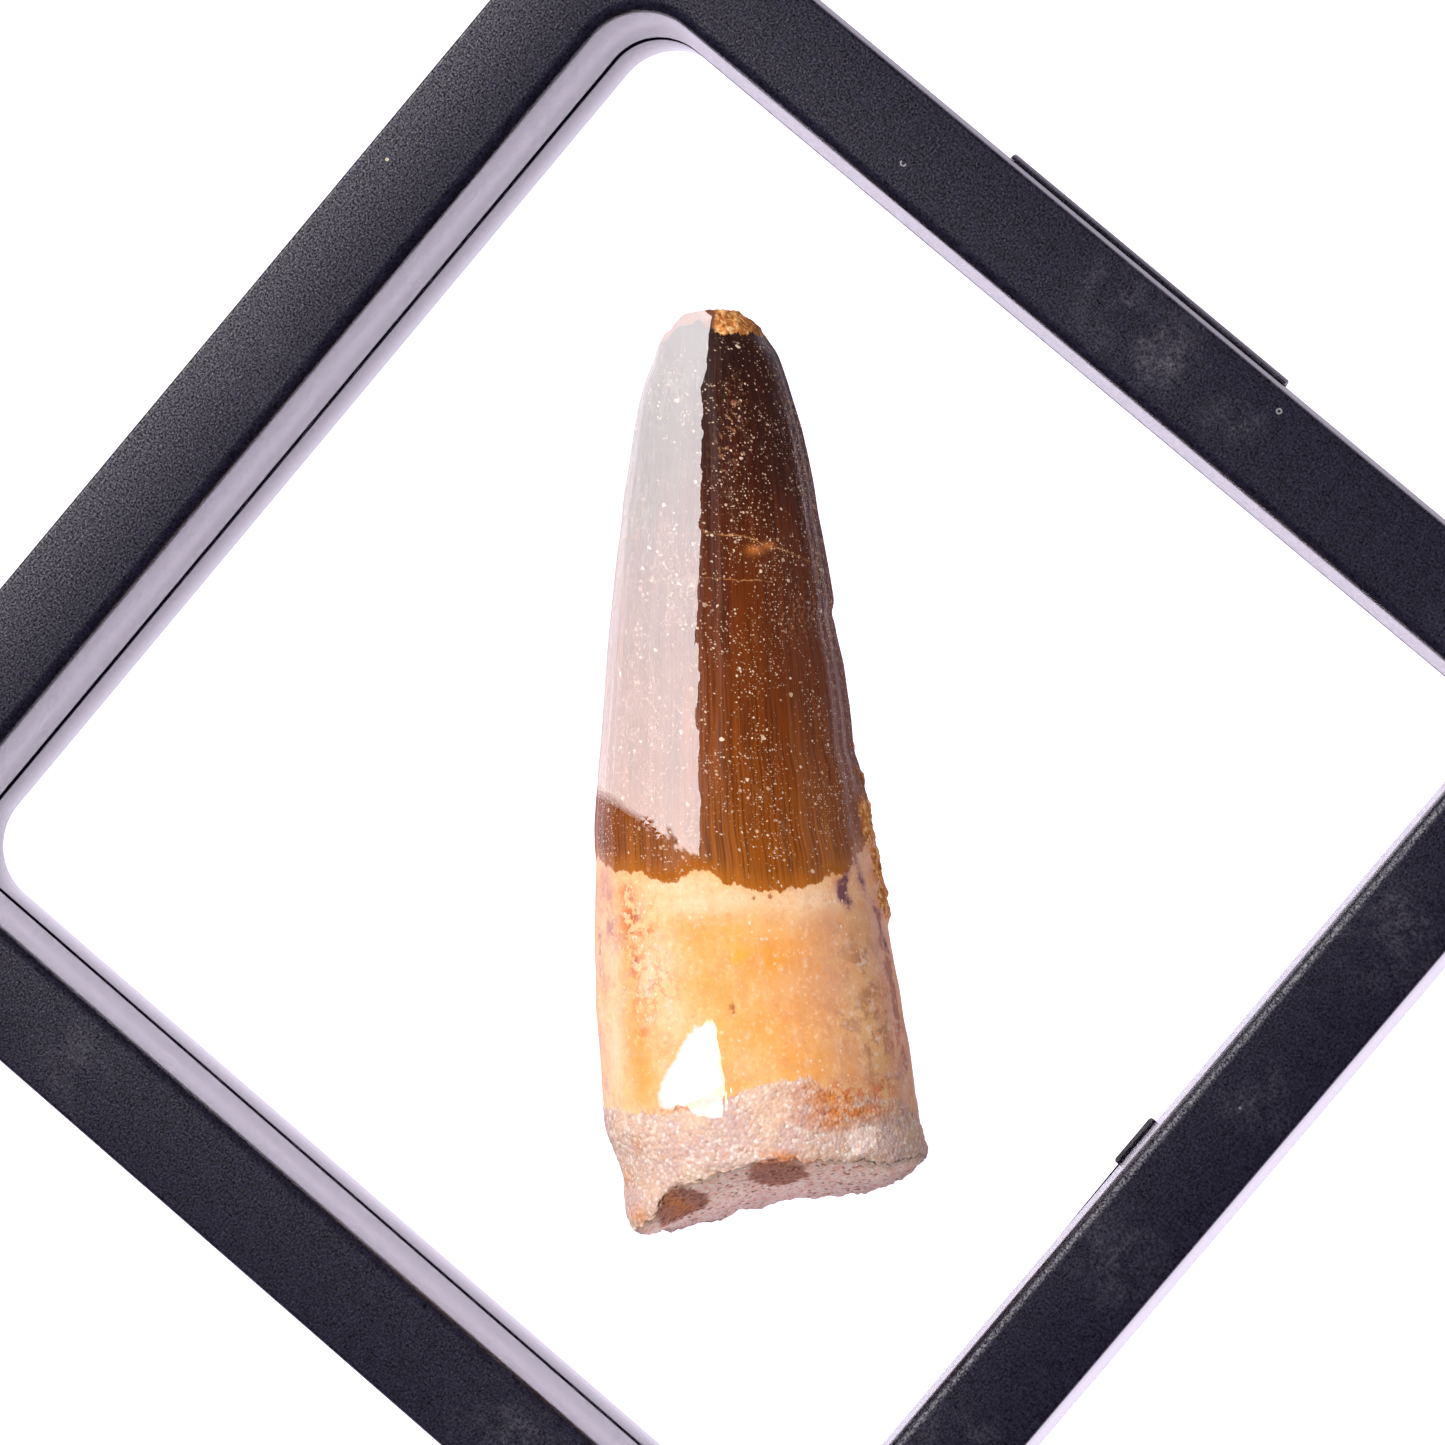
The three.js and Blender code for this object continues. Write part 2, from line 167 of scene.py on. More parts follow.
def grid_faces(rows, n, closed=True, start=0):
    """Quads between rings of n points each."""
    i = np.arange(n if closed else n - 1)
    j = (i + 1) % n
    out = []
    for k in range(rows - 1):
        a, b = start + k * n, start + (k + 1) * n
        out.append(np.stack([a + i, a + j, b + j, b + i], 1))
    return np.concatenate(out)


def combine(target, tools, operation):
    """Boolean of closed meshes, applied."""
    for tool in tools:
        m = target.modifiers.new("cut", "BOOLEAN")
        m.operation, m.solver, m.object = operation, "EXACT", tool
    bpy.context.view_layer.update()
    made = bpy.data.meshes.new_from_object(target.evaluated_get(bpy.context.evaluated_depsgraph_get()))
    target.modifiers.clear()
    old, target.data = target.data, made
    bpy.data.meshes.remove(old)
    for tool in tools:
        bpy.data.objects.remove(tool)
    return target


def put(o, material, body=None, replaces=None):
    o.data.materials.clear()
    o.data.materials.append(material)
    if body:
        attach(o, body)
    if replaces:
        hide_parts(replaces)
    return o


# =====================================================================================
# shader nodes
# =====================================================================================
class Tree:
    """Short ways to add shader nodes. Inputs are numbers, colours or sockets."""

    def __init__(self, name):
        self.mat = bpy.data.materials.new(name)
        self.mat.use_nodes = True
        self.nt = self.mat.node_tree
        self.nt.nodes.clear()
        self.out = self.nt.nodes.new("ShaderNodeOutputMaterial")

    def node(self, kind, **inputs):
        n = self.nt.nodes.new(kind)
        for key, value in inputs.items():
            self.set(n.inputs[key.replace("_", " ")], value)
        return n

    def set(self, socket, value):
        if isinstance(value, bpy.types.NodeSocket):
            self.nt.links.new(value, socket)
        else:
            socket.default_value = value

    def maths(self, op, a, b=None, c=None, clamp=False):
        n = self.nt.nodes.new("ShaderNodeMath")
        n.operation, n.use_clamp = op, clamp
        for s, v in zip(n.inputs, (a, b, c)):
            if v is not None:
                self.set(s, v)
        return n.outputs[0]

    def add(self, a, b): return self.maths("ADD", a, b)
    def sub(self, a, b): return self.maths("SUBTRACT", a, b)
    def mul(self, a, b): return self.maths("MULTIPLY", a, b)

    def attr(self, name):
        n = self.nt.nodes.new("ShaderNodeAttribute")
        n.attribute_type, n.attribute_name = "GEOMETRY", name
        return n.outputs["Fac"]

    def place(self):
        return self.nt.nodes.new("ShaderNodeTexCoord").outputs["Object"]

    def uv(self, name="skin"):
        n = self.nt.nodes.new("ShaderNodeUVMap")
        n.uv_map = name
        return n.outputs["UV"]

    def scaled(self, vector, scale, turn=(0, 0, 0), shift=(0, 0, 0)):
        n = self.nt.nodes.new("ShaderNodeMapping")
        self.set(n.inputs["Vector"], vector)
        n.inputs["Scale"].default_value = scale
        n.inputs["Rotation"].default_value = turn
        n.inputs["Location"].default_value = shift
        return n.outputs["Vector"]

    def noise(self, vector, scale, detail=3.0, rough=0.5, out="Fac", distort=0.0):
        n = self.node("ShaderNodeTexNoise", Vector=vector, Scale=scale, Detail=detail, Roughness=rough, Distortion=distort)
        return n.outputs[out]

    def voronoi(self, vector, scale, dims="3D", feature="F1", random=1.0):
        n = self.nt.nodes.new("ShaderNodeTexVoronoi")
        n.voronoi_dimensions, n.feature = dims, feature
        self.set(n.inputs["Vector"], vector)
        n.inputs["Scale"].default_value = scale
        n.inputs["Randomness"].default_value = random
        return n

    def ramp(self, value, stops, smooth_between=False):
        n = self.nt.nodes.new("ShaderNodeValToRGB")
        self.set(n.inputs["Fac"], value)
        r = n.color_ramp
        r.interpolation = "EASE" if smooth_between else "LINEAR"
        while len(r.elements) > 1:
            r.elements.remove(r.elements[-1])
        for k, (at, colour) in enumerate(stops):
            e = r.elements[0] if k == 0 else r.elements.new(at)
            e.position = at
            e.color = colour if hasattr(colour, "__len__") else (colour, colour, colour, 1)
        return n.outputs["Color"]

    def remap(self, value, lo, hi, a=0.0, b=1.0, smooth_between=True):
        n = self.nt.nodes.new("ShaderNodeMapRange")
        n.interpolation_type = "SMOOTHSTEP" if smooth_between else "LINEAR"
        for key, v in (("Value", value), ("From Min", lo), ("From Max", hi), ("To Min", a), ("To Max", b)):
            self.set(n.inputs[key], v)
        return n.outputs["Result"]

    def mix(self, factor, a, b, kind="MIX"):
        n = self.nt.nodes.new("ShaderNodeMix")
        n.data_type, n.blend_type, n.clamp_factor = "RGBA", kind, True
        self.set(n.inputs[0], factor)
        self.set(n.inputs[6], a)
        self.set(n.inputs[7], b)
        return n.outputs[2]

    def split(self, vector):
        n = self.node("ShaderNodeSeparateXYZ", Vector=vector)
        return n.outputs

    def bump(self, height, distance, strength=1.0, after=None):
        n = self.node("ShaderNodeBump", Height=height, Distance=distance, Strength=strength)
        if after is not None:
            self.set(n.inputs["Normal"], after)
        return n.outputs["Normal"]

    def surface(self, **inputs):
        n = self.node("ShaderNodeBsdfPrincipled", **inputs)
        self.nt.links.new(n.outputs[0], self.out.inputs["Surface"])
        return self.mat


# =====================================================================================
# the frame's two moulded halves
# =====================================================================================
THICK, HALF_OUT_MID, HALF_OUT_FACE, HALF_IN_MID, HALF_IN_FACE = 20.0, 45.0, 44.2, 36.97, 37.46
R_EDGE_IN, R_EDGE_OUT, CORNER_IN, CORNER_OUT, SEAM, PART_GAP = 0.9, 0.3, 33.1, 41.0, 0.35, 0.10
WALL_OUT, FACE_WALL, LIP_OUTER = 1.3, 2.0, 38.15


def swept(section, segs=20, straight=10):
    """Points and quads of a closed section [half-size, height, corner centre] swept round a rounded square."""
    loops = []
    for a, z, c in section:
        r, pts = a - c, []
        for k in range(4):
            sx, sy = (1 if k in (0, 3) else -1) * c, (1 if k < 2 else -1) * c
            for i in range(segs + 1):
                t = (k + i / segs) * math.pi / 2
                pts.append((sx + r * math.cos(t), sy + r * math.sin(t), z))
            nx, ny = (1 if (k + 1) % 4 in (0, 3) else -1) * c, (1 if (k + 1) % 4 < 2 else -1) * c
            t = (k + 1) * math.pi / 2
            x0, y0, x1, y1 = sx + r * math.cos(t), sy + r * math.sin(t), nx + r * math.cos(t), ny + r * math.sin(t)
            for i in range(1, straight):
                pts.append((x0 + (x1 - x0) * i / straight, y0 + (y1 - y0) * i / straight, z))
        loops.append(pts)
    n, m = len(loops[0]), len(loops)
    i = np.arange(n)
    j = (i + 1) % n
    faces = np.concatenate([np.stack([k * n + i, k * n + j, ((k + 1) % m) * n + j, ((k + 1) % m) * n + i], 1) for k in range(m)])
    return np.array(loops).reshape(-1, 3), faces


def bezel_section(side):
    slope_in, slope_out = (HALF_IN_FACE - HALF_IN_MID) / MID, (HALF_OUT_MID - HALF_OUT_FACE) / MID
    inner, outer = lambda h: HALF_IN_MID + slope_in * h, lambda h: HALF_OUT_MID - slope_out * h
    ci, co, p = CORNER_IN, CORNER_OUT, []
    p += [(inner(0) + 0.15, SEAM, ci), (inner(0) + 0.06, SEAM + 0.03, ci), (inner(SEAM + 0.15), SEAM + 0.15, ci)]
    h0 = MID - R_EDGE_IN
    cx = inner(h0) + R_EDGE_IN
    for i in range(10):
        t = math.pi - i * math.pi / 18
        p.append((cx + R_EDGE_IN * math.cos(t), h0 + R_EDGE_IN * math.sin(t), ci))
    ox = outer(MID - R_EDGE_OUT) - R_EDGE_OUT
    for t in (90, 73, 56, 39, 22, 5):
        t = math.radians(t)
        p.append((ox + R_EDGE_OUT * math.cos(t), MID - R_EDGE_OUT + R_EDGE_OUT * math.sin(t), co))
    p += [(outer(PART_GAP + 0.18), PART_GAP + 0.18, co), (outer(0) - 0.05, PART_GAP + 0.04, co), (outer(0) - 0.18, PART_GAP, co)]
    p += [(HALF_OUT_MID - 0.1 - WALL_OUT, PART_GAP, co), (HALF_OUT_FACE - WALL_OUT, MID - FACE_WALL, co)]
    p += [(LIP_OUTER + 0.6, MID - FACE_WALL, ci), (LIP_OUTER + 0.18, MID - FACE_WALL - 0.18, ci), (LIP_OUTER, MID - FACE_WALL - 0.6, ci)]
    p += [(LIP_OUTER, SEAM + 0.1, ci), (LIP_OUTER - 0.1, SEAM, ci)]
    return [(a, MID + side * h, c) for a, h, c in p]


def slab(name, outline, z0, z1):
    """A convex outline in X and Y, as a solid from z0 to z1."""
    n = len(outline)
    pts = np.array([(x, y, z0) for x, y in outline] + [(x, y, z1) for x, y in outline])
    i = np.arange(n)
    j = (i + 1) % n
    side = np.stack([i, j, n + j, n + i], 1)
    fan = np.array([(0, k, k + 1) for k in range(1, n - 1)])
    return make(name, pts, [side, fan[:, ::-1], fan + n])


def rounded(x0, x1, y0, y1, r, corners):
    """Outline of a box with some corners rounded: corners holds 0..3 for low-low, high-low, high-high, low-high."""
    out = []
    for k, (cx, cy, a0) in enumerate(((x0, y0, 180), (x1, y0, 270), (x1, y1, 0), (x0, y1, 90))):
        if k not in corners:
            out.append((cx, cy))
            continue
        mx, my = cx + (r if k in (0, 3) else -r), cy + (r if k in (0, 1) else -r)
        out += [(mx + r * math.cos(math.radians(a0 + t)), my + r * math.sin(math.radians(a0 + t))) for t in (0, 22.5, 45, 67.5, 90)]
    return out


def extrude_x(name, section, x0, x1, ends=0.0):
    """A section in Y and Z drawn out along X. Its end faces are pulled in a little all round by `ends`."""
    sec = np.array(section, float)
    n = len(sec)
    mid = sec.mean(0)
    rows = [(x0, ends), (x0 + ends, 0.0), (x1 - ends, 0.0), (x1, ends)] if ends else [(x0, 0.0), (x1, 0.0)]
    pts = []
    for x, pull in rows:
        d = mid - sec
        q = sec + d / np.maximum(np.linalg.norm(d, axis=1, keepdims=True), 1e-9) * pull
        pts += [(x, y, z) for y, z in q]
    i = np.arange(n)
    faces = [grid_faces(len(rows), n)]
    caps = [list(range(n)), list(range((len(rows) - 1) * n, len(rows) * n))]
    me_faces = faces[0]
    pts = np.array(pts)
    if volume(pts, [me_faces]) < 0:
        me_faces = me_faces[:, ::-1]
        caps[1] = caps[1][::-1]
    else:
        caps[0] = caps[0][::-1]
    me = bpy.data.meshes.new(name)
    me.from_pydata([tuple(np.array(p) * MM) for p in pts], [], [list(f) for f in me_faces] + caps)
    me.update()
    me.shade_smooth()
    o = bpy.data.objects.new(name, me)
    bpy.context.scene.collection.objects.link(o)
    return o


def shell(name, side):
    pts, faces = swept(bezel_section(side))
    return make(name, pts, [faces])


front = shell("front_rim", 1)
lip = slab("t1", rounded(-7, 7, -45.45, -44.0, 0.4, (0, 1)), MID + PART_GAP, MID + 2.3)
tongue = extrude_x("t2", [(-43.9, MID + 0.6), (-43.9, MID + 3.2), (-42.4, MID + 3.8), (-42.3, MID + 3.4), (-42.3, MID - 2.2), (-42.5, MID - 2.6),
                          (-42.8, MID - 2.6), (-43.15, MID - 2.1), (-43.15, MID - 1.5), (-42.95, MID - 1.1), (-42.95, MID + 0.3)], -5, 5)
front = combine(front, [lip, tongue], "UNION")

back = shell("back_rim", -1)
lip_at = HALF_IN_MID + 0.02
tab = slab("t3", rounded(lip_at - 0.49, 37.7, -1.82, 2.0, 0.22, (0, 3)), MID - SEAM - 0.85, MID - SEAM - 0.25)
flash = slab("t4", [(lip_at - 0.11, -1.77), (lip_at - 0.06, -5.2), (lip_at + 0.02, -9.0), (37.6, -9.0), (37.6, -1.77)][::-1], MID - SEAM - 0.60, MID - SEAM - 0.30)
back = combine(back, [tab, flash], "UNION")
notch = slab("t5", rounded(-6, 6, -46, -44.35, 0.3, (2, 3)), MID - 1.7, MID + 0.5)
back = combine(back, [notch], "DIFFERENCE")
for o in (front, back):
    o.data.shade_smooth()
    o.data.set_sharp_from_angle(angle=math.radians(24))

# The hinge strip: an arch over the parting line, thin enough to bend.
HINGE_H = 1.45


def arch(part):
    outer, inner = [], []
    for k in range(17):
        t = math.radians(-90 + 180 * k / 16)
        h = HINGE_H * math.sin(t)
        y = 44.95 + 0.50 * max(0.0, math.cos(t)) ** 0.9
        outer.append((y, MID + h))
    for k in range(15):
        t = math.radians(80 - 160 * k / 14)
        h = (HINGE_H - 0.20) * math.sin(t)
        y = max(44.93, 45.06 - 0.13 * abs(math.sin(t)) ** 3)
        inner.append((y, MID + h))
    return outer + inner


hinge = extrude_x("hinge_strip", arch(0), -11.9, 11.9, ends=0.05)
hinge.data.set_sharp_from_angle(angle=math.radians(40))


# =====================================================================================
# the tooth: crown, root and the sandstone still stuck to its end
# =====================================================================================
TIP = np.array([-20.331, 24.602])
TURN = math.radians(-46.585)
ALONG = np.array([math.cos(TURN), math.sin(TURN)])        # from the tip to the base
ACROSS = np.array([-math.sin(TURN), math.cos(TURN)])      # towards the right edge
LEFT = [(0, 2.75), (.28, 3.0), (.93, 3.5), (1.17, 3.95), (2, 4.40), (3, 4.66), (4, 5.19), (5, 5.59), (6, 5.91), (8, 6.36), (10, 6.74), (12, 7.19),
        (14, 7.50), (16, 7.88), (18, 8.19), (20, 8.51), (22, 8.82), (24, 9.06), (26, 9.30), (28, 9.55), (30, 9.86), (32, 10.10), (34, 10.34),
        (36, 10.40), (38, 10.56), (40, 10.74), (42, 10.84), (44, 10.88), (46, 10.98), (48, 10.94), (50, 10.86), (52, 10.83), (54.3, 10.74),
        (55.2, 10.45), (56, 10.08), (57, 9.81), (58, 9.66), (60, 9.63), (63, 9.5)]
RIGHT = [(0, 1.14), (.36, 1.5), (.6, 2.0), (1.17, 2.5), (2.22, 3.0), (2.93, 3.5), (4, 3.84), (5, 4.13), (6, 4.35), (8, 4.84), (10, 5.21), (12, 5.50),
         (14, 5.68), (16, 5.97), (18, 6.21), (20, 6.43), (21, 6.34), (22, 6.44), (24, 6.81), (26, 6.97), (28, 7.14), (30, 7.18), (31, 7.51), (32, 7.66),
         (34, 7.82), (35, 7.84), (36, 8.10), (37, 8.33), (38, 8.38), (40, 8.71), (42, 8.91), (44, 9.15), (46, 9.44), (48, 9.61), (50, 9.91), (52, 10.05),
         (54, 10.21), (55, 10.29), (56, 10.52), (57, 10.78), (58, 10.70), (60, 10.5), (63, 10.2)]
# Half the depth of the tooth along it, in front of and behind its middle plane.
DEEP_F = [(0, 1.75), (1, 2.6), (2, 3.0), (3.5, 3.5), (5, 3.88), (8, 4.48), (12, 5.08), (16, 5.55), (20, 5.97), (24, 6.34), (28, 6.70), (32, 7.06), (36, 7.42),
          (38, 7.52), (42, 7.60), (46, 7.68), (47.5, 7.74), (49, 7.90), (52.5, 8.28), (54.5, 8.38), (58, 8.32), (63, 8.2)]
DEEP_B = [(0, 1.75), (1, 2.5), (2, 2.95), (3.5, 3.45), (5, 3.85), (8, 4.45), (12, 5.08), (16, 5.55), (20, 5.95), (24, 6.30), (28, 6.66), (32, 7.02), (36, 7.34),
          (40, 7.62), (44, 7.86), (48, 8.05), (52, 8.2), (55, 8.2), (58, 8.1), (63, 8.0)]
ROUND = 2.1
END_FRONT = [(-9.8, 60.9), (-8.3, 60.8), (-7.4, 60.2), (-6.3, 58.8), (-5.1, 58.05), (-3.0, 57.65), (-0.7, 57.25), (2.4, 56.95), (5.5, 57.0),
             (8.4, 57.35), (10.1, 56.9), (10.8, 56.7)]
END_BACK = [(-9.8, 60.9), (-8.9, 61.9), (-6.6, 62.0), (-4.1, 61.35), (-1.6, 60.4), (0.9, 60.0), (4.2, 60.1), (7.5, 59.8), (10.0, 58.5), (10.8, 58.0)]
FINE_S = np.arange(-0.5, 64.01, 0.05)


def fine(rows, width):
    y = steps(rows, FINE_S)
    k = np.exp(-0.5 * (np.arange(-40, 41) * 0.05 / width) ** 2)
    soft = np.convolve(np.pad(y, 40, mode="edge"), k / k.sum(), mode="valid")
    keep = ease(FINE_S, 0.8, 3.5)               # the broken tip keeps its corners
    return y * (1 - keep) + soft * keep


EDGE_L, EDGE_R, HIGH_F, HIGH_B = fine(LEFT, 0.35), fine(RIGHT, 0.30), fine(DEEP_F, 1.0), fine(DEEP_B, 1.2)


def end_at(r, h):
    f, b = steps(END_FRONT, r), steps(END_BACK, r)
    return f + (b - f) * np.clip((7.9 - h) / 15.8, -0.1, 1.1)


def cross(s, c, d):
    """Point (r, h) on the cross-section at s, for a direction (c, d) round it."""
    p = 2 / ROUND
    L, R = np.interp(s, FINE_S, EDGE_L), np.interp(s, FINE_S, EDGE_R)
    deep = np.where(d > 0, np.interp(s, FINE_S, HIGH_F), np.interp(s, FINE_S, HIGH_B))
    return (R - L) / 2 + (R + L) / 2 * np.sign(c) * np.abs(c) ** p, deep * np.sign(d) * np.abs(d) ** p


AROUND = 228
TIP_RINGS = (0.25, 0.5, 0.72, 0.88, 0.97)
ENDS = 40


def tooth_rings():
    t = (np.arange(AROUND) + 0.5) / AROUND * 2 * np.pi - np.pi / 2      # the seam lies along the back
    c, d = np.cos(t), np.sin(t)
    rows, m0 = [], (np.interp(0, FINE_S, EDGE_R) - np.interp(0, FINE_S, EDGE_L)) / 2
    for f in TIP_RINGS:
        r, h = cross(np.zeros(AROUND), c, d)
        rows.append(np.stack([np.full(AROUND, -0.10 + 0.10 * f ** 3), m0 + (r - m0) * f, h * f], 1))
    along = np.concatenate([[0.0, 0.06, 0.14, 0.24, 0.36, 0.48, 0.6, 0.73, 0.86, 1.0], np.linspace(1.0, 52.0, 316)[1:]])
    for s in along:
        r, h = cross(np.full(AROUND, s), c, d)
        rows.append(np.stack([np.full(AROUND, s), r, h], 1))
    stop = np.full(AROUND, 58.0)
    for _ in range(14):
        r, h = cross(stop, c, d)
        stop = end_at(r, h)
    for k in range(1, 59):
        s = 52.0 + (stop - 52.0) * k / 58
        r, h = cross(s, c, d)
        rows.append(np.stack([s, r, h], 1))
    body = len(rows)
    r1, h1 = cross(stop, c, d)
    for k in range(1, ENDS):
        f = 1 - k / ENDS
        r, h = 0.5 + (r1 - 0.5) * f, h1 * f
        rows.append(np.stack([end_at(r, h), r, h], 1))
    return np.stack(rows), body, t


RINGS, BODY, THETA = tooth_rings()
RINGS[:, :, 2] *= 1 - 0.055 * ease(RINGS[:, :, 1], 2.5, 8.5) * ease(RINGS[:, :, 0], 49.0, 54.0) * (RINGS[:, :, 2] > 0)
NR = len(RINGS)


def ring_normals(P):
    along = np.gradient(P, axis=0)
    around = (np.roll(P, -1, axis=1) - np.roll(P, 1, axis=1))
    n = np.cross(around, along)
    n /= np.maximum(np.linalg.norm(n, axis=2, keepdims=True), 1e-9)
    centre = P.mean(axis=1, keepdims=True)
    flip = np.sign((n * (P - centre)).sum(2))
    body = flip[: BODY - 2].mean()
    return n * (1 if body > 0 else -1)


NORMALS = ring_normals(RINGS)
q = RINGS.reshape(-1, 3)
s, r, h = q[:, 0], q[:, 1], q[:, 2]
ring_no = np.repeat(np.arange(NR), AROUND)
theta = np.tile(THETA, NR)
front_side = ease(h, -2.0, 1.0)
on_end = ring_no >= BODY

# Where each kind of surface stops along the tooth, across its front. Its back has borders of its own.
ENAMEL_EDGE = [(-10.8, 35.8), (-9.9, 36.4), (-8.9, 37.0), (-7.9, 37.3), (-6.8, 37.4), (-5.3, 38.2), (-4.4, 38.05), (-3.3, 37.6), (-2.5, 37.4), (-1.9, 37.8),
               (-1.15, 38.3), (0.0, 38.7), (0.9, 39.05), (2.5, 39.15), (3.5, 39.0), (4.8, 38.95), (5.75, 38.3), (6.85, 38.0), (7.7, 36.7), (8.1, 35.6), (9.0, 35.0)]
STONE_EDGE = [(-10.8, 52.8), (-10.0, 52.95), (-8.8, 53.2), (-7.7, 53.3), (-6.2, 53.4), (-5.2, 53.2), (-3.4, 52.5), (-2.4, 52.45), (-1.0, 52.4), (0.3, 51.8),
              (1.3, 51.65), (3.3, 51.5), (4.5, 51.9), (5.75, 52.8), (7.6, 53.1), (9.4, 53.4), (10.1, 54.3), (10.6, 54.6)]
TIP_EDGE = [(-4.8, 3.0), (-4.2, 2.0), (-3.0, 1.15), (-2.45, 0.9), (-1.3, 0.75), (-0.2, 1.45), (0.2, 1.75), (1.0, 1.7), (1.95, 1.65), (2.7, 1.95), (3.6, 2.9)]
jag = fbm(q, (1.5, 0.75, 0.75), 3, seed=3)
jag_small = noise3(q, 0.55, seed=8)
wander = noise3(q, 4.0, seed=21)
enamel_edge = steps(ENAMEL_EDGE, r) * front_side + (37.6 + 1.4 * wander) * (1 - front_side)
enamel = enamel_edge + 0.38 * jag + 0.14 * jag_small - s              # mm inside the enamel
stone_edge = steps(STONE_EDGE, r) * front_side + (53.0 + 1.2 * noise3(q, 5.0, seed=31)) * (1 - front_side)
stone = s - stone_edge + 0.42 * fbm(q, 1.3, 3, seed=12)               # mm inside the sandstone
stone[on_end] = np.maximum(stone[on_end], 4.0)
cap_edge = steps(TIP_EDGE, r) * front_side + (1.6 + 0.7 * noise3(q, 1.5, seed=41)) * (1 - front_side)
cap = cap_edge + 0.30 * fbm(q, 0.8, 2, seed=14) - s                   # mm inside the worn tip
is_enamel = ease(enamel, -0.06, 0.10) * (1 - ease(cap, -0.05, 0.15))
is_stone = ease(stone, -0.08, 0.14)
is_cap = ease(cap, -0.05, 0.15)
is_root = np.clip(1 - is_enamel - is_stone - is_cap, 0, 1)


def spots(rows, at_front=True):
    """Sum of soft marks (s, r, length, width, strength[, turn]) on one side of the tooth."""
    out = np.zeros(len(q))
    for row in rows:
        s0, r0, ls, lr, k = row[:5]
        a = math.radians(row[5]) if len(row) > 5 else 0.0
        ds, dr = s - s0, r - r0
        x, y = ds * math.cos(a) + dr * math.sin(a), -ds * math.sin(a) + dr * math.cos(a)
        out = np.maximum(out, k * np.exp(-(x / ls) ** 2 - (y / lr) ** 2))
    return out * (front_side if at_front else 1 - front_side)


def stroke(rows, width, at_front=True):
    """A drawn-out mark through points (s, angle in degrees) round the tooth, fading out over `width` mm."""
    girth_here = 8.9
    pts = [(a, math.radians(b) * girth_here) for a, b in rows]
    best = np.full(len(q), 99.0)
    v = theta * girth_here
    for (s0, v0), (s1, v1) in zip(pts[:-1], pts[1:]):
        ds, dv = s1 - s0, v1 - v0
        k = np.clip(((s - s0) * ds + (v - v0) * dv) / (ds * ds + dv * dv), 0, 1)
        best = np.minimum(best, np.hypot(s - s0 - k * ds, v - v0 - k * dv))
    return np.exp(-((best + 0.10 * noise3(q, 0.6, seed=55)) / width) ** 2)


# crust of rusty grains along the right edge under the enamel
right_edge = ease(np.cos(theta), 0.90, 0.985) * ease(h, -4.5, -1.0) * (1 - ease(h, 1.2, 3.2))
crust = right_edge * ease(s, 31.5, 34.5) * (1 - ease(s, 40.8, 42.0)) * np.clip(0.75 + 0.6 * noise3(q, 1.2, seed=51), 0, 1)
crust = np.maximum(crust, 0.55 * ease(np.cos(theta), 0.95, 0.99) * ease(s, 26, 29) * (1 - ease(s, 33, 35)) * ease(noise3(q, 1.4, seed=52), 0.1, 0.5))
lift = np.zeros(len(q))
# enamel: lengthwise flutes and wrinkles, and its edge a step above the root
angle_mm = theta * 7.0
flute_at = np.stack([s / 26.0, angle_mm, np.zeros(len(q))], 1)
flutes = 0.5 * np.cos(theta * 38 + 1.2 * noise3(np.stack([s, angle_mm, 0 * s], 1), (40, 5, 1), seed=61)) + noise3(flute_at, (1.6, 0.9, 1.0), seed=62)
lift += is_enamel * (0.030 * flutes * ease(s, 3, 9) + 0.030 * fbm(q, (5.0, 1.2, 1.2), 2, seed=63))
lift += is_enamel * 0.085 * ease(enamel, 0.0, 0.8)
# root: gently uneven, with a few pits
lift += is_root * (0.05 * fbm(q, 2.8, 3, seed=71) - 0.10 * spots([(46.5, -1.0, 0.75, 0.35, 1.0, 12), (43.2, -7.45, 0.4, 0.3, 0.4), (40.9, -7.9, 0.35, 0.25, 0.4),
                                                                   (42.0, -7.0, 0.3, 0.3, 0.35), (39.5, 0.85, 0.18, 0.18, 0.6), (39.5, 1.85, 0.2, 0.16, 0.6)]))
# sandstone: grains that stand out, and a rough broken end
d1, w1 = cells(q, 0.44, seed=5)
d2, _ = cells(q, 0.27, seed=6)
grain = (0.55 - d1) * (0.5 + w1) * 0.9 + 0.45 * (0.5 - d2)
rough_stone = 0.085 * grain + 0.12 * fbm(q, 2.0, 3, seed=81) + 0.07 * fbm(q, 0.8, 2, seed=82)
lift += is_stone * rough_stone * (0.55 + 0.45 * ease(stone, 0.2, 1.2)) + is_stone * 0.05
lift += is_cap * (0.14 * grain + 0.08 * fbm(q, 0.9, 2, seed=83))
lift += crust * (0.34 + 0.22 * grain)
# two filled cracks across the crown, and a chip on the right edge
crack_a = s - np.interp(r, [-6, -1.5, 0, 1.55, 2.55, 3.3, 5.1, 6.0], [14.9, 15.12, 15.34, 15.62, 16.2, 16.36, 17.25, 17.5]) + 0.10 * noise3(q, 0.7, seed=91)
crack_b = s - np.interp(r, [-6, -2.0, -0.15, 1.5, 3.1, 6.0], [17.9, 18.04, 18.35, 18.44, 18.63, 18.9]) + 0.10 * noise3(q, 0.7, seed=92)
crack = np.maximum(np.exp(-(crack_a / 0.10) ** 2) * (0.5 + 0.5 * ease(r, -2.5, 0.5)), 0.85 * np.exp(-(crack_b / 0.07) ** 2) * (1 - ease(r, 2.2, 4.2)))
crack *= ease(h, -1.0, 0.8) * ease(noise3(q, 1.1, seed=93), -0.75, 0.05)
lift -= 0.04 * crack
lift -= 0.16 * np.exp(-((s - 20.6) / 0.5) ** 2) * ease(np.cos(theta), 0.93, 0.99)
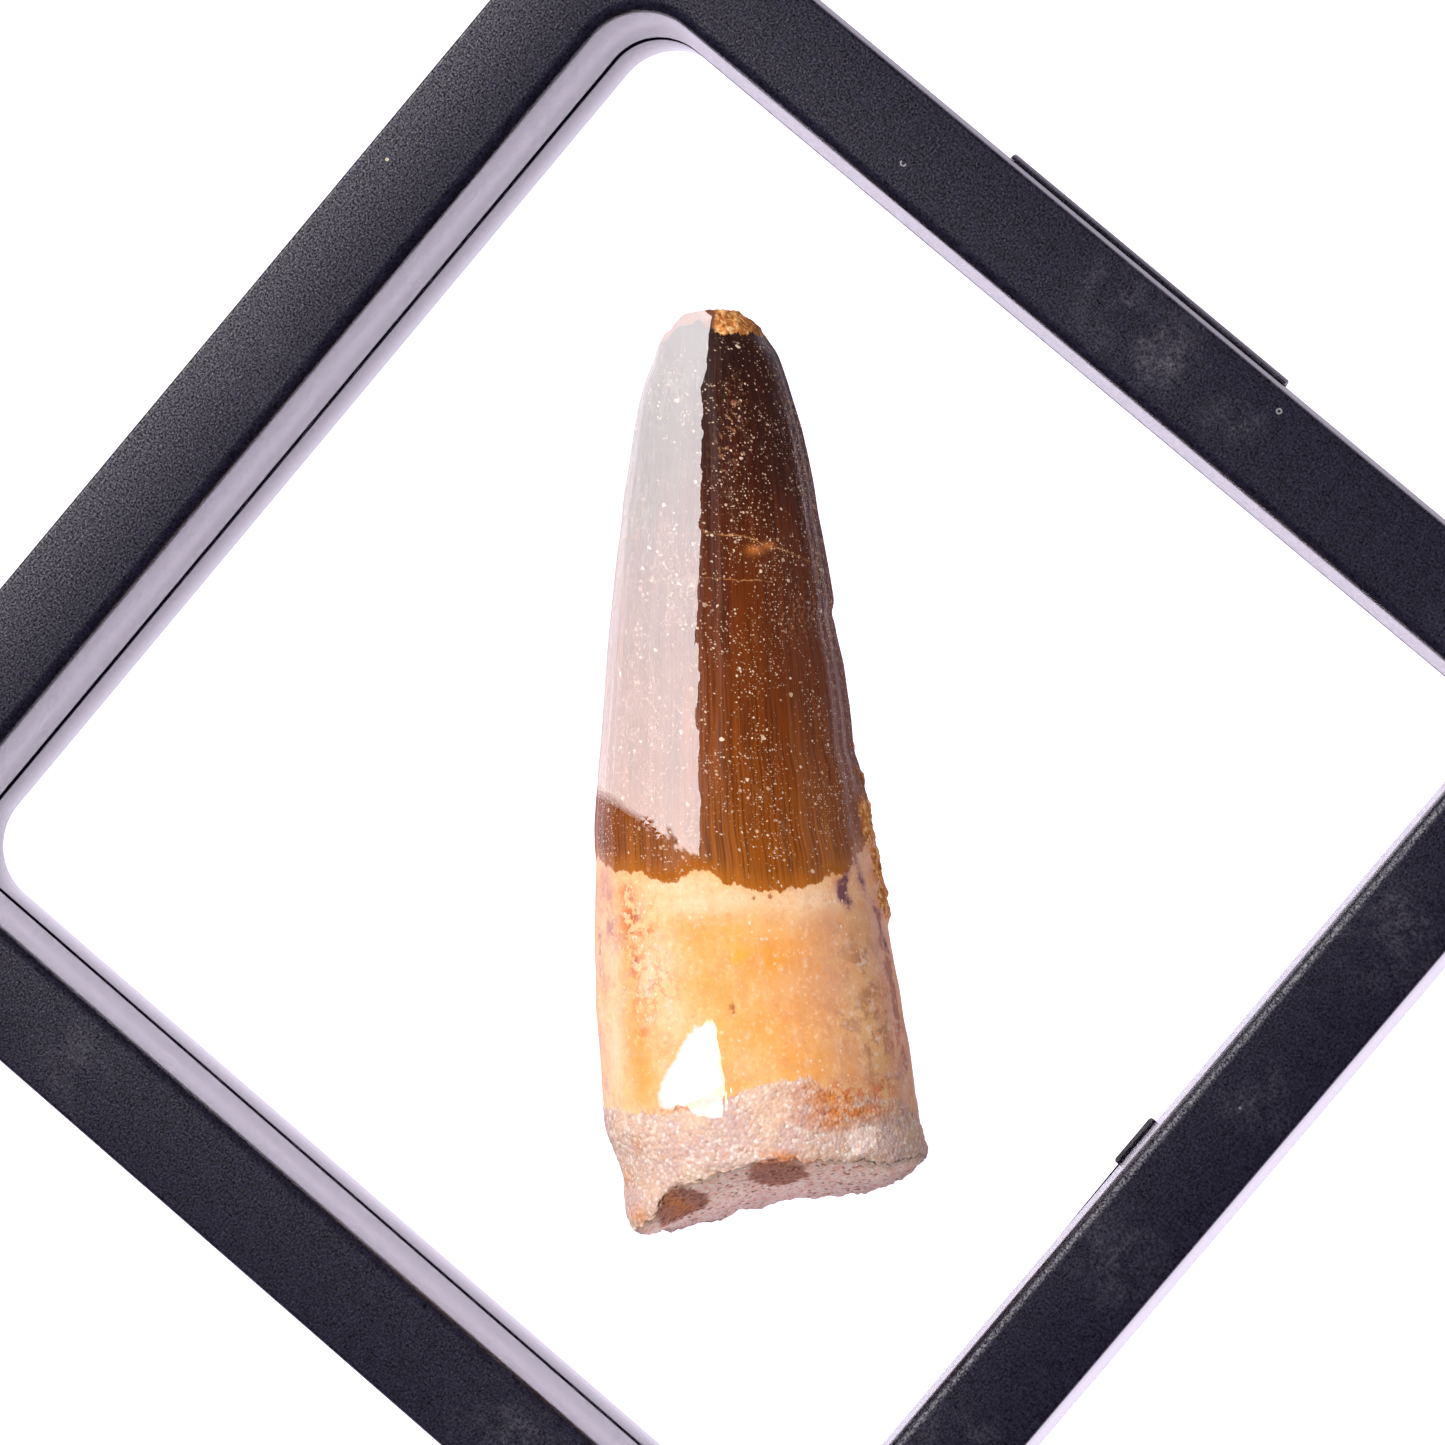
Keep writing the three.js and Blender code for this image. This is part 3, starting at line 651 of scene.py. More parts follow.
# the rim of the broken end is worn, and its face is uneven
edge_dist = np.where(on_end, (ring_no - BODY + 1) / ENDS * 10.0, np.clip(stone * 0 + (BODY - 1 - ring_no) * 0.1, 0, 9))
lift -= 0.22 * np.exp(-(edge_dist / 0.35) ** 2) * is_stone
moved = RINGS + NORMALS * lift.reshape(NR, AROUND, 1)
chip = 0.40 * fbm(q, 1.3, 4, seed=97) + 0.20 * grain
moved[:, :, 0] += (chip * is_stone * ease(ring_no, BODY - 14, BODY - 1)).reshape(NR, AROUND) * np.where(np.arange(NR) < BODY, 1.0, np.clip(1 - (np.arange(NR) - BODY) / 30.0, 0.45, 1))[:, None]
moved[BODY:, :, 0] += (0.35 * fbm(RINGS[BODY:].reshape(-1, 3), 4.5, 3, seed=95)).reshape(-1, AROUND) * ease(1 - (np.arange(1, ENDS)[:, None] * -1.0 + ENDS) / ENDS, 0.0, 0.15)

flat = moved.reshape(-1, 3)
tip_point = np.array([[-0.12, -0.8, 0.0]])
base_point = moved[-1].mean(axis=0, keepdims=True)
tooth_pts = np.concatenate([flat, tip_point, base_point])
ti, bi = len(flat), len(flat) + 1
i = np.arange(AROUND)
j = (i + 1) % AROUND
tip_fan = np.stack([np.full(AROUND, ti), j, i], 1)
last = (NR - 1) * AROUND
base_fan = np.stack([np.full(AROUND, bi), last + i, last + j], 1)
tooth = make("fossil_tooth", tooth_pts, [grid_faces(NR, AROUND), tip_fan, base_fan])
tooth.matrix_world = Matrix.Translation(Vector((TIP[0] * MM, TIP[1] * MM, MID * MM))) @ Matrix.Rotation(TURN, 4, "Z")


def keep(o, name, values, extra=(0.0, 0.0)):
    a = o.data.attributes.new(name, "FLOAT", "POINT")
    a.data.foreach_set("value", np.concatenate([values, extra]).astype(np.float32))


honey = np.clip(0.55 + 0.55 * fbm(q, 4.5, 3, seed=101), 0, 1)
honey = np.maximum(honey * ease(-np.abs(r + 0.6), -7.2, -3.0), spots([(43.5, 1.5, 2.6, 3.6, 1.0), (42.5, -2.5, 3.0, 3.0, 0.8), (48.5, 1.5, 3.0, 4.0, 0.85),
                                                                       (46.0, -2.5, 5.0, 2.5, 0.9), (50.0, -7.4, 3.5, 1.2, 0.9), (44.5, -8.0, 3.0, 0.5, 0.6), (50.5, 3.5, 1.3, 3.0, 0.9)]))
rust = spots([(38.9, -7.8, 0.9, 0.6, 0.9), (40.5, -7.7, 1.5, 0.8, 1.0), (41.3, -6.7, 0.5, 0.9, 0.8), (43.2, -7.5, 1.3, 0.5, 0.9), (46.5, -6.8, 1.2, 0.8, 0.5),
              (48.0, -7.2, 0.6, 0.5, 0.5), (52.9, 5.6, 0.9, 2.8, 1.0), (53.9, 6.0, 0.75, 3.0, 1.0), (54.6, 5.2, 0.5, 1.6, 0.8), (52.6, 8.2, 0.8, 1.2, 0.8), (52.2, 3.9, 0.5, 1.0, 0.6), (53.0, -4.6, 0.28, 2.6, 0.8, 8),
              (59.6, -5.9, 0.7, 0.6, 0.7), (60.2, -8.3, 0.7, 0.7, 0.6), (56.6, 2.2, 0.35, 1.8, 0.75, -10), (57.6, -9.0, 0.6, 0.4, 0.5), (55.5, -8.0, 0.5, 0.35, 0.5),
              (16.45, 1.9, 0.30, 0.55, 1.0), (16.2, 2.7, 0.25, 0.4, 0.9), (46.5, 8.6, 3.2, 0.5, 0.45), (49.5, 9.3, 2.2, 0.5, 0.7)])
rust = np.maximum(rust, 0.9 * crust)
mauve = spots([(38.7, -9.6, 1.8, 0.9, 0.85), (41.0, -9.3, 1.8, 0.8, 0.75), (43.6, -10.2, 1.0, 0.4, 0.8), (44.5, -9.6, 0.8, 0.6, 0.6), (48.2, -10.5, 1.0, 0.35, 0.7), (51.6, -10.3, 1.0, 0.4, 0.5)])
plum = np.maximum(stroke([(37.3, 33), (38.3, 36), (39.2, 40), (39.9, 40.5), (40.1, 37)], 0.46), 0.62 * stroke([(36.8, 29), (38.2, 27), (39.6, 24)], 0.5))
plum = np.maximum(plum, 0.62 * stroke([(40.3, 19), (42.1, 14), (44.1, 8)], 0.40))
plum = np.maximum(plum, 0.5 * stroke([(40.8, 160), (41.6, 157), (42.6, 158)], 0.24))
plum *= np.clip(0.86 + 0.5 * noise3(q, 0.7, seed=57), 0, 1)
redline = np.maximum(stroke([(43.6, 13), (46.8, 12), (49.4, 14), (51.5, 12)], 0.55), 0.7 * stroke([(42.8, 17), (44.6, 18), (46.0, 16)], 0.4))
redline *= np.clip(0.85 + 0.7 * noise3(q, 1.0, seed=58), 0, 1)
net = spots([(45.2, -6.4, 2.4, 1.9, 1.0), (42.6, -6.0, 1.2, 1.0, 0.6), (49.0, -5.6, 1.4, 1.0, 0.4)])
tan = spots([(42.0, 5.8, 2.8, 2.2, 0.8), (45.5, 5.2, 3.0, 2.4, 0.8), (50.0, 6.4, 2.2, 2.0, 0.6), (52.0, 7.2, 1.6, 2.0, 0.7)])
mottle = 0.8 * spots([(44.5, 7.5, 1.8, 1.0, 0.85), (46.8, 7.9, 1.8, 0.9, 0.95), (49.3, 8.1, 2.0, 1.0, 1.0), (51.8, 8.6, 1.6, 1.1, 0.9), (48.0, 6.6, 1.6, 1.1, 0.6), (43.0, 6.6, 1.4, 0.9, 0.4)])
dark = spots([(46.5, -1.0, 0.8, 0.28, 0.9, 12), (39.54, 0.84, 0.20, 0.20, 1.0), (39.52, 1.85, 0.24, 0.18, 1.0), (48.4, -3.8, 0.25, 0.3, 0.5), (47.9, 4.6, 0.25, 0.15, 0.4)])
pale = spots([(39.6, -1.5, 1.0, 5.0, 0.75), (39.8, 4.0, 1.0, 3.0, 0.8), (43.5, -9.1, 5.0, 0.6, 0.8), (49.0, -9.3, 4.0, 0.7, 0.9), (44.0, -6.0, 2.4, 1.5, 0.7), (47.0, -5.0, 1.5, 1.6, 0.55),
              (38.6, -3.8, 0.8, 3.0, 0.7), (53.3, -7.5, 0.5, 2.5, 0.5)])
# a pale patch with a sharp outline painted on the root's front: a painted reflection, standing in for part of the
# lamp's reflection in the film
PATCH = np.array([(47.75, -3.55), (47.85, -2.35), (49.6, -2.15), (51.7, -2.10), (52.15, -2.45), (53.2, -5.3), (52.95, -6.15), (51.95, -6.2), (51.1, -5.85), (49.4, -4.75)])
away, inside = np.full(len(q), 99.0), np.zeros(len(q), bool)
for (s0, r0), (s1, r1) in zip(PATCH, np.roll(PATCH, -1, axis=0)):
    ds, dr = s1 - s0, r1 - r0
    k = np.clip(((s - s0) * ds + (r - r0) * dr) / (ds * ds + dr * dr), 0, 1)
    away = np.minimum(away, np.hypot(s - s0 - k * ds, r - r0 - k * dr))
    crosses = (r0 > r) != (r1 > r)
    inside ^= crosses & (s < s0 + (r - r0) / (r1 - r0 if r1 != r0 else 1.0) * ds)
painted_reflection = ease(np.where(inside, away, -away) + 0.16 * noise3(q, 0.6, seed=121), -0.08, 0.12) * front_side
# two dark lumps in the broken end
er, eh = r, h
lump = np.zeros(len(q))
for s0, r0, h0, a, b in ((57.6, 1.1, 4.3, 2.05, 5.2), (60.0, -5.6, 2.6, 1.8, 4.6)):
    lump = np.maximum(lump, 1 - ease(np.hypot((er - r0) / a, (eh - h0) / b) + 0.12 * noise3(q, 0.8, seed=111), 0.86, 1.06))
lump *= np.where(on_end, 1.0, ease(s - end_at(r, h), -0.40, -0.15))
rim_dust = ease(np.cos(theta), 0.80, 0.97) * ease(h, -3.0, -0.5) * ease(s, 3.0, 5.5) * (1 - 0.55 * ease(s, 21, 26))
rim_dust = np.maximum(rim_dust, 0.8 * spots([(20.9, 4.6, 1.3, 1.2, 1.0), (7.0, 0.9, 2.0, 0.7, 0.9), (10.0, 0.2, 2.0, 0.8, 0.7)]))
side = 1 - ease(np.sin(theta), 0.10, 0.55)
for name, values in (("enamel", enamel), ("stone", stone), ("cap", cap), ("honey", honey), ("rust", rust), ("mauve", mauve), ("plum", plum), ("tan", tan),
                     ("mottle", mottle), ("dark", dark), ("pale", pale), ("painted_reflection", painted_reflection), ("lump", lump), ("cap_left", ease(-r, 0.10, 0.40)), ("crack_a", crack_a), ("crack_b", crack_b), ("crack_a_on", ease(h, 0.5, 2.5) * (0.35 + 0.65 * ease(r, -1.0, 0.3)) * (1 - 0.5 * ease(r, 3.4, 4.6))),
                     ("crack_b_on", ease(h, 0.5, 2.5) * (0.35 + 0.65 * ease(r, -1.0, 0.3)) * (1 - ease(r, 1.6, 3.4))), ("crust", crust), ("redline", redline), ("net", net), ("rim_dust", rim_dust), ("side", side), ("broken", on_end.astype(float) * ease(ring_no, BODY + 0.5, BODY + 3))):
    keep(tooth, name, values, (values[0], values[-1]))
# s and the distance round the tooth in mm, for marks that lie in the surface
uv = tooth.data.uv_layers.new(name="skin")
loop_vertex = np.zeros(len(tooth.data.loops), np.int32)
tooth.data.loops.foreach_get("vertex_index", loop_vertex)
girth = np.interp(s, FINE_S, (EDGE_L + EDGE_R) / 2) * 5.7 / (2 * np.pi)
u_mm, v_mm = np.concatenate([s, [0.0, s[-1]]]), np.concatenate([theta * girth, [0.0, 0.0]])
turn_no = np.concatenate([np.tile(np.arange(AROUND), NR), [0, 0]])[loop_vertex]
v_loop = v_mm[loop_vertex]
starts = np.zeros(len(tooth.data.polygons), np.int32)
tooth.data.polygons.foreach_get("loop_start", starts)
totals = np.zeros(len(tooth.data.polygons), np.int32)
tooth.data.polygons.foreach_get("loop_total", totals)
poly_of = np.repeat(np.arange(len(starts)), totals)
low = np.full(len(starts), 10 ** 6)
np.minimum.at(low, poly_of, turn_no)
high = np.zeros(len(starts), int)
np.maximum.at(high, poly_of, turn_no)
wraps = (high - low > AROUND // 2)[poly_of] & (turn_no < AROUND // 2)
v_loop = np.where(wraps, v_loop + 2 * np.pi * np.concatenate([girth, [0, 0]])[loop_vertex], v_loop)
uv.data.foreach_set("uv", np.stack([u_mm[loop_vertex], v_loop], 1).astype(np.float32).ravel())
# and one in which the tooth's flutes run straight
run = tooth.data.uv_layers.new(name="run")
angle = np.concatenate([theta, [0.0, 0.0]])[loop_vertex] * 8.0
run.data.foreach_set("uv", np.stack([u_mm[loop_vertex], np.where(wraps, angle + 16.0 * np.pi, angle)], 1).astype(np.float32).ravel())


# =====================================================================================
# the two films: elastic skins stretched over the tooth
# =====================================================================================
SPAN, FREE, FREE_R = 38.5, 36.9, 3.8
proud = 0.02 + 0.20 * ease(stone, -1.2, 2.6) + 0.24 * is_cap + 0.30 * crust + np.clip(lift, -0.05, 0.12) * is_enamel * 0.45
held = RINGS + NORMALS * proud.reshape(NR, AROUND, 1)      # what the skins lie on: the tooth without its smallest grains
held = held.reshape(-1, 3)
tooth_xyz = np.empty_like(held)
tooth_xyz[:, 0] = TIP[0] + held[:, 0] * ALONG[0] + held[:, 1] * ACROSS[0]
tooth_xyz[:, 1] = TIP[1] + held[:, 0] * ALONG[1] + held[:, 1] * ACROSS[1]
tooth_xyz[:, 2] = held[:, 2]


def stretched(points, side, n, gap, passes=1000):
    """Height over the parting plane of a skin held along the rim and pushed out by the tooth, on an n x n grid."""
    x = np.linspace(-SPAN, SPAN, n)
    step = x[1] - x[0]
    X, Y = np.meshgrid(x, x, indexing="xy")
    c = FREE - FREE_R
    ax, ay = np.abs(X), np.abs(Y)
    free = (ax < FREE) & (ay < FREE) & ~((ax > c) & (ay > c) & (np.hypot(ax - c, ay - c) >= FREE_R))
    high = side * points[:, 2]
    under = np.zeros((n, n))
    u, v = (points[:, 0] + SPAN) / step, (points[:, 1] + SPAN) / step
    for du in (0, 1):
        for dv in (0, 1):
            i, j = np.floor(u).astype(int) + du, np.floor(v).astype(int) + dv
            ok = (i >= 0) & (i < n) & (j >= 0) & (j < n) & (high > 0)
            np.maximum.at(under, (j[ok], i[ok]), high[ok])
    limit = np.where(under > 0, under + gap, 0)
    f = limit.copy()
    parity = (np.add.outer(np.arange(n), np.arange(n)) % 2).astype(bool)
    masks = [free & parity, free & ~parity]
    for m in masks:
        m[0, :] = m[-1, :] = m[:, 0] = m[:, -1] = False
    w = 2 / (1 + math.sin(math.pi / (n * 0.9)))
    for _ in range(passes):
        for m in masks:
            mean = np.zeros_like(f)
            mean[1:-1, 1:-1] = (f[:-2, 1:-1] + f[2:, 1:-1] + f[1:-1, :-2] + f[1:-1, 2:]) / 4
            f[m] = np.maximum(limit, f + w * (mean - f))[m]
    # it is too stiff to bend down sharply over an edge, and leaves it at no more than 40 degrees
    tent = f.copy()
    for _ in range(int(11.0 / step)):
        g = tent.copy()
        for dy, dx in ((0, 1), (0, -1), (1, 0), (-1, 0), (1, 1), (1, -1), (-1, 1), (-1, -1)):
            g = np.maximum(g, np.roll(tent, (dy, dx), (0, 1)) - 0.84 * step * math.hypot(dx, dy))
        tent = np.where(free, g, tent)
    for _ in range(10):
        mean = tent.copy()
        mean[1:-1, 1:-1] = (tent[:-2, 1:-1] + tent[2:, 1:-1] + tent[1:-1, :-2] + tent[1:-1, 2:]) / 4
        tent = np.where(free & (tent > limit + 0.2), np.maximum(limit, mean), tent)
    return x, tent, free, limit


def film(name, side, n, thick=0.12, lift=0.05):
    x, f, free, limit = stretched(tooth_xyz, side, n, 0.05)
    step = x[1] - x[0]
    edge = 38.30
    a = np.linspace(-edge, edge, n)
    X, Y = np.meshgrid(a, a, indexing="xy")
    cx, cy = np.abs(X) - CORNER_IN, np.abs(Y) - CORNER_IN
    corner = (cx > 0) & (cy > 0)
    reach, dist = np.maximum(cx, cy), np.maximum(np.hypot(cx, cy), 1e-9)
    k = np.where(corner, reach / dist, 1.0)
    X = np.where(corner, np.sign(X) * (CORNER_IN + cx * k), X)
    Y = np.where(corner, np.sign(Y) * (CORNER_IN + cy * k), Y)
    U, V = (X + SPAN) / step, (Y + SPAN) / step
    iu, iv = np.clip(U.astype(int), 0, n - 2), np.clip(V.astype(int), 0, n - 2)
    fu, fv = U - iu, V - iv
    H = (f[iv, iu] * (1 - fu) + f[iv, iu + 1] * fu) * (1 - fv) + (f[iv + 1, iu] * (1 - fu) + f[iv + 1, iu + 1] * fu) * fv
    layers = []
    for t in (0.0, thick):
        layers.append(np.stack([X.ravel(), Y.ravel(), MID + side * (H.ravel() + lift + t)], 1))
    quads = grid_faces(n, n, closed=False)
    faces = [quads, quads[:, ::-1] + n * n]
    # the rim is folded up beside the lip and gripped by the clamp ring
    ring = np.concatenate([np.arange(n - 1), n - 1 + n * np.arange(n - 1), n * n - 1 - np.arange(n - 1), n * (n - 1) - n * np.arange(n - 1)])
    rim = np.stack([X.ravel()[ring], Y.ravel()[ring]], 1)
    out = np.where(np.abs(rim) > CORNER_IN, rim - np.sign(rim) * CORNER_IN, 0.0)
    out /= np.linalg.norm(out, axis=1, keepdims=True)
    m, pts, made = len(ring), [], []
    for grow, up in ((0.05, 0.02), (0.085, 0.07), (0.085, 1.0), (0.085, 3.3), (-0.055, 3.3), (-0.055, 1.0), (-0.055, 0.07 + thick), (-0.03, 0.02 + thick)):
        p = rim + out * grow
        pts.append(np.stack([p[:, 0], p[:, 1], np.full(m, MID + side * (lift + up))], 1))
    start = 2 * n * n
    rows = [ring] + [start + k * m + np.arange(m) for k in range(len(pts))] + [n * n + ring]
    for p, q2 in zip(rows[:-1], rows[1:]):
        p1, q1 = np.roll(p, -1), np.roll(q2, -1)
        made.append(np.stack([p, q2, q1, p1], 1))
    points = np.concatenate(layers + pts)
    rim_faces = np.concatenate(made)
    o = make(name, points, [faces[0], faces[1], rim_faces], sharp=50)
    # where it lies tight on the tooth it takes on the tooth's own fine unevenness
    touch = blur(((limit > 0) & (f < limit + 0.03)).astype(float), 2)
    T = (touch[iv, iu] * (1 - fu) + touch[iv, iu + 1] * fu) * (1 - fv) + (touch[iv + 1, iu] * (1 - fu) + touch[iv + 1, iu + 1] * fu) * fv
    a = o.data.attributes.new("touch", "FLOAT", "POINT")
    a.data.foreach_set("value", np.concatenate([T.ravel(), T.ravel(), np.zeros(len(points) - 2 * n * n)]).astype(np.float32))
    return o


front_film = film("front_film_skin", 1, 215)
back_film = film("back_film_skin", -1, 161)


# =====================================================================================
# finishes
# =====================================================================================
def plastic_material(name):
    """Black plastic: a spark-eroded grain on the flat faces, smooth walls, fingermarks, a little dust, and painted
    shade in the seam on the inner walls.
    """
    t = Tree(name)
    at = t.place()
    x = t.split(at)
    facing = t.split(t.nt.nodes.new("ShaderNodeTexCoord").outputs["Normal"])
    flat_face = t.remap(t.maths("ABSOLUTE", facing[2]), 0.35, 0.85)
    grain = t.noise(at, 5600, 2.0, 0.6)
    coarse = t.noise(at, 3600, 2.0, 0.7)
    drift = t.noise(at, 900, 2.0, 0.6)
    pores = t.voronoi(at, 7600).outputs["Distance"]
    # fingermarks
    cloud = t.noise(at, 520, 4.0, 0.65)

    def near(px, py, radius):
        dx, dy = t.mul(t.sub(x[0], px * MM), 1000.0), t.mul(t.sub(x[1], py * MM), 1000.0)
        d = t.maths("SQRT", t.add(t.mul(dx, dx), t.mul(dy, dy)))
        return t.remap(d, radius, 0.0) if radius else d

    mark = t.maths("MAXIMUM", near(5.1, 41.2, 3.6), t.mul(near(11.5, 40.6, 3.2), 0.45))
    for px, py, rad, k in ((1.0, 41.5, 5.0, 0.5), (33.0, 40.6, 5.0, 0.35), (40.6, 22.0, 6.0, 0.45), (40.5, -6.0, 5.0, 0.5), (40.7, -22.0, 5.0, 0.4), (40.8, 8.0, 4.0, 0.4),
                           (-20.0, -41.0, 5.0, 0.35), (18.0, -40.6, 6.0, 0.4), (-40.6, 2.0, 6.0, 0.25)):
        mark = t.maths("MAXIMUM", mark, t.mul(near(px, py, rad), k))
    mark = t.mul(mark, t.remap(cloud, 0.38, 0.72))
    colour = t.mix(t.mul(flat_face, t.remap(t.add(t.add(t.mul(coarse, 0.45), t.mul(grain, 0.55)), t.mul(t.sub(drift, 0.5), 0.22)), 0.36, 0.66, 0.0, 1.0, False)), lin(5, 4, 12), lin(30, 28, 44))
    off = t.mul(t.maths("ABSOLUTE", t.sub(x[2], MID * MM)), 1000.0)
    # painted shade: near-black colour, full roughness and no gloss on the inner walls close to the parting line, where
    # the gap between the halves lies in shadow
    seam_painted_shade = t.mul(t.remap(off, 0.78, 0.62), t.maths("LESS_THAN", t.maths("MAXIMUM", t.maths("ABSOLUTE", x[0]), t.maths("ABSOLUTE", x[1])), 43.0 * MM))
    colour = t.mix(seam_painted_shade, colour, (0.004, 0.003, 0.008, 1))
    colour = t.mix(t.mul(mark, t.remap(coarse, 0.38, 0.66, 0.06, 0.34)), colour, lin(128, 127, 137))
    specks = t.voronoi(at, 560)
    r = t.split(specks.outputs["Color"])
    dot = t.mul(t.maths("LESS_THAN", specks.outputs["Distance"], t.add(0.02, t.mul(r[1], 0.055))), t.maths("GREATER_THAN", r[0], 0.955))
    colour = t.mix(t.mul(dot, 0.5), colour, lin(150, 146, 132))
    # a speck, a small ring and a curl left on the front face
    wobble = t.mul(t.sub(t.noise(at, 3000, 2.0, 0.5), 0.5), 0.12)
    ring = t.remap(t.maths("ABSOLUTE", t.sub(t.add(near(13.38, 43.0, 0), wobble), 0.16)), 0.075, 0.03)
    d = near(-16.0, 39.73, 0)
    curl = t.mul(t.remap(t.maths("ABSOLUTE", t.sub(t.add(d, wobble), 0.17)), 0.06, 0.03), t.maths("LESS_THAN", x[1], 39.80 * MM))
    spot = t.remap(t.add(near(-42.6, 18.1, 0), t.mul(wobble, 1.5)), 0.16, 0.10)
    spot2 = t.remap(t.add(near(40.65, 6.74, 0), wobble), 0.13, 0.06)
    seen = t.maths("GREATER_THAN", x[2], 0.0195)
    for m, k, c in ((ring, 0.6, lin(140, 142, 140)), (curl, 0.7, lin(150, 148, 150)), (spot, 0.75, lin(170, 166, 140)), (spot2, 0.5, lin(120, 120, 128))):
        colour = t.mix(t.mul(t.mul(m, seen), k), colour, c)
    # the walls are smooth, but grainy close to the parting line
    wall_grain = t.mul(t.remap(off, 2.6, 0.4), t.remap(t.noise(at, 5200, 1.0, 0.5), 0.54, 0.66))
    height = t.add(t.mul(grain, 0.8), t.mul(pores, 0.55))
    normal = t.bump(t.mul(height, t.add(t.mul(flat_face, 0.96), 0.04)), 0.000013, 1.0)
    hinge_side = t.mul(t.maths("GREATER_THAN", x[1], 43.9 * MM), t.sub(1.0, flat_face))
    upper = t.maths("GREATER_THAN", x[2], MID * MM)
    rough = t.add(t.add(0.175, t.mul(upper, 0.045)), t.add(t.mul(flat_face, 0.14), t.mul(hinge_side, 0.27)))
    rough = t.add(rough, t.mul(t.add(wall_grain, t.mul(t.sub(grain, 0.5), 0.9)), t.mul(t.sub(1.0, flat_face), 0.12)))
    rough = t.maths("MAXIMUM", t.add(rough, t.mul(mark, 0.06)), seam_painted_shade)
    glint = t.maths("MAXIMUM", t.add(1.0, t.mul(t.mul(t.sub(t.noise(at, 6800, 1.0, 0.5), 0.5), flat_face), 5.5)), 0.1)
    gloss = t.mul(t.sub(0.50, t.add(t.mul(flat_face, 0.27), t.mul(hinge_side, 0.17))), t.sub(1.0, seam_painted_shade))
    return t.surface(Base_Color=colour, Roughness=rough, Normal=normal, IOR=1.5, Specular_IOR_Level=t.mul(gloss, glint))


def ring_material():
    t = Tree("ring_black")
    at = t.place()
    lines = t.noise(t.scaled(at, (1, 1, 14)), 260, 2.0, 0.5)
    colour = t.mix(t.remap(lines, 0.35, 0.65), lin(30, 30, 34), lin(46, 46, 51))
    return t.surface(Base_Color=colour, Roughness=t.remap(lines, 0.3, 0.7, 0.38, 0.52), Normal=t.bump(lines, 0.00003, 0.5), IOR=1.5)


def film_material():
    """Clear elastic skin: plain transmission, no tint, with fine waves only where it lies on the tooth."""
    t = Tree("clear_film")
    along = t.scaled(t.place(), (1, 1, 1), (0, 0, -TURN))
    fine_wave = t.noise(t.scaled(along, (0.40, 1, 1)), 1400, 1.0, 0.5)
    wide_wave = t.noise(t.scaled(along, (0.30, 1, 1)), 480, 0.0, 0.5)
    height = t.mul(t.attr("touch"), t.add(t.mul(fine_wave, 0.000018), t.mul(wide_wave, 0.000022)))
    t.surface(Base_Color=(1, 1, 1, 1), Roughness=0.0, IOR=1.58, Transmission_Weight=1.0, Normal=t.bump(height, 1.0))
    return t.mat


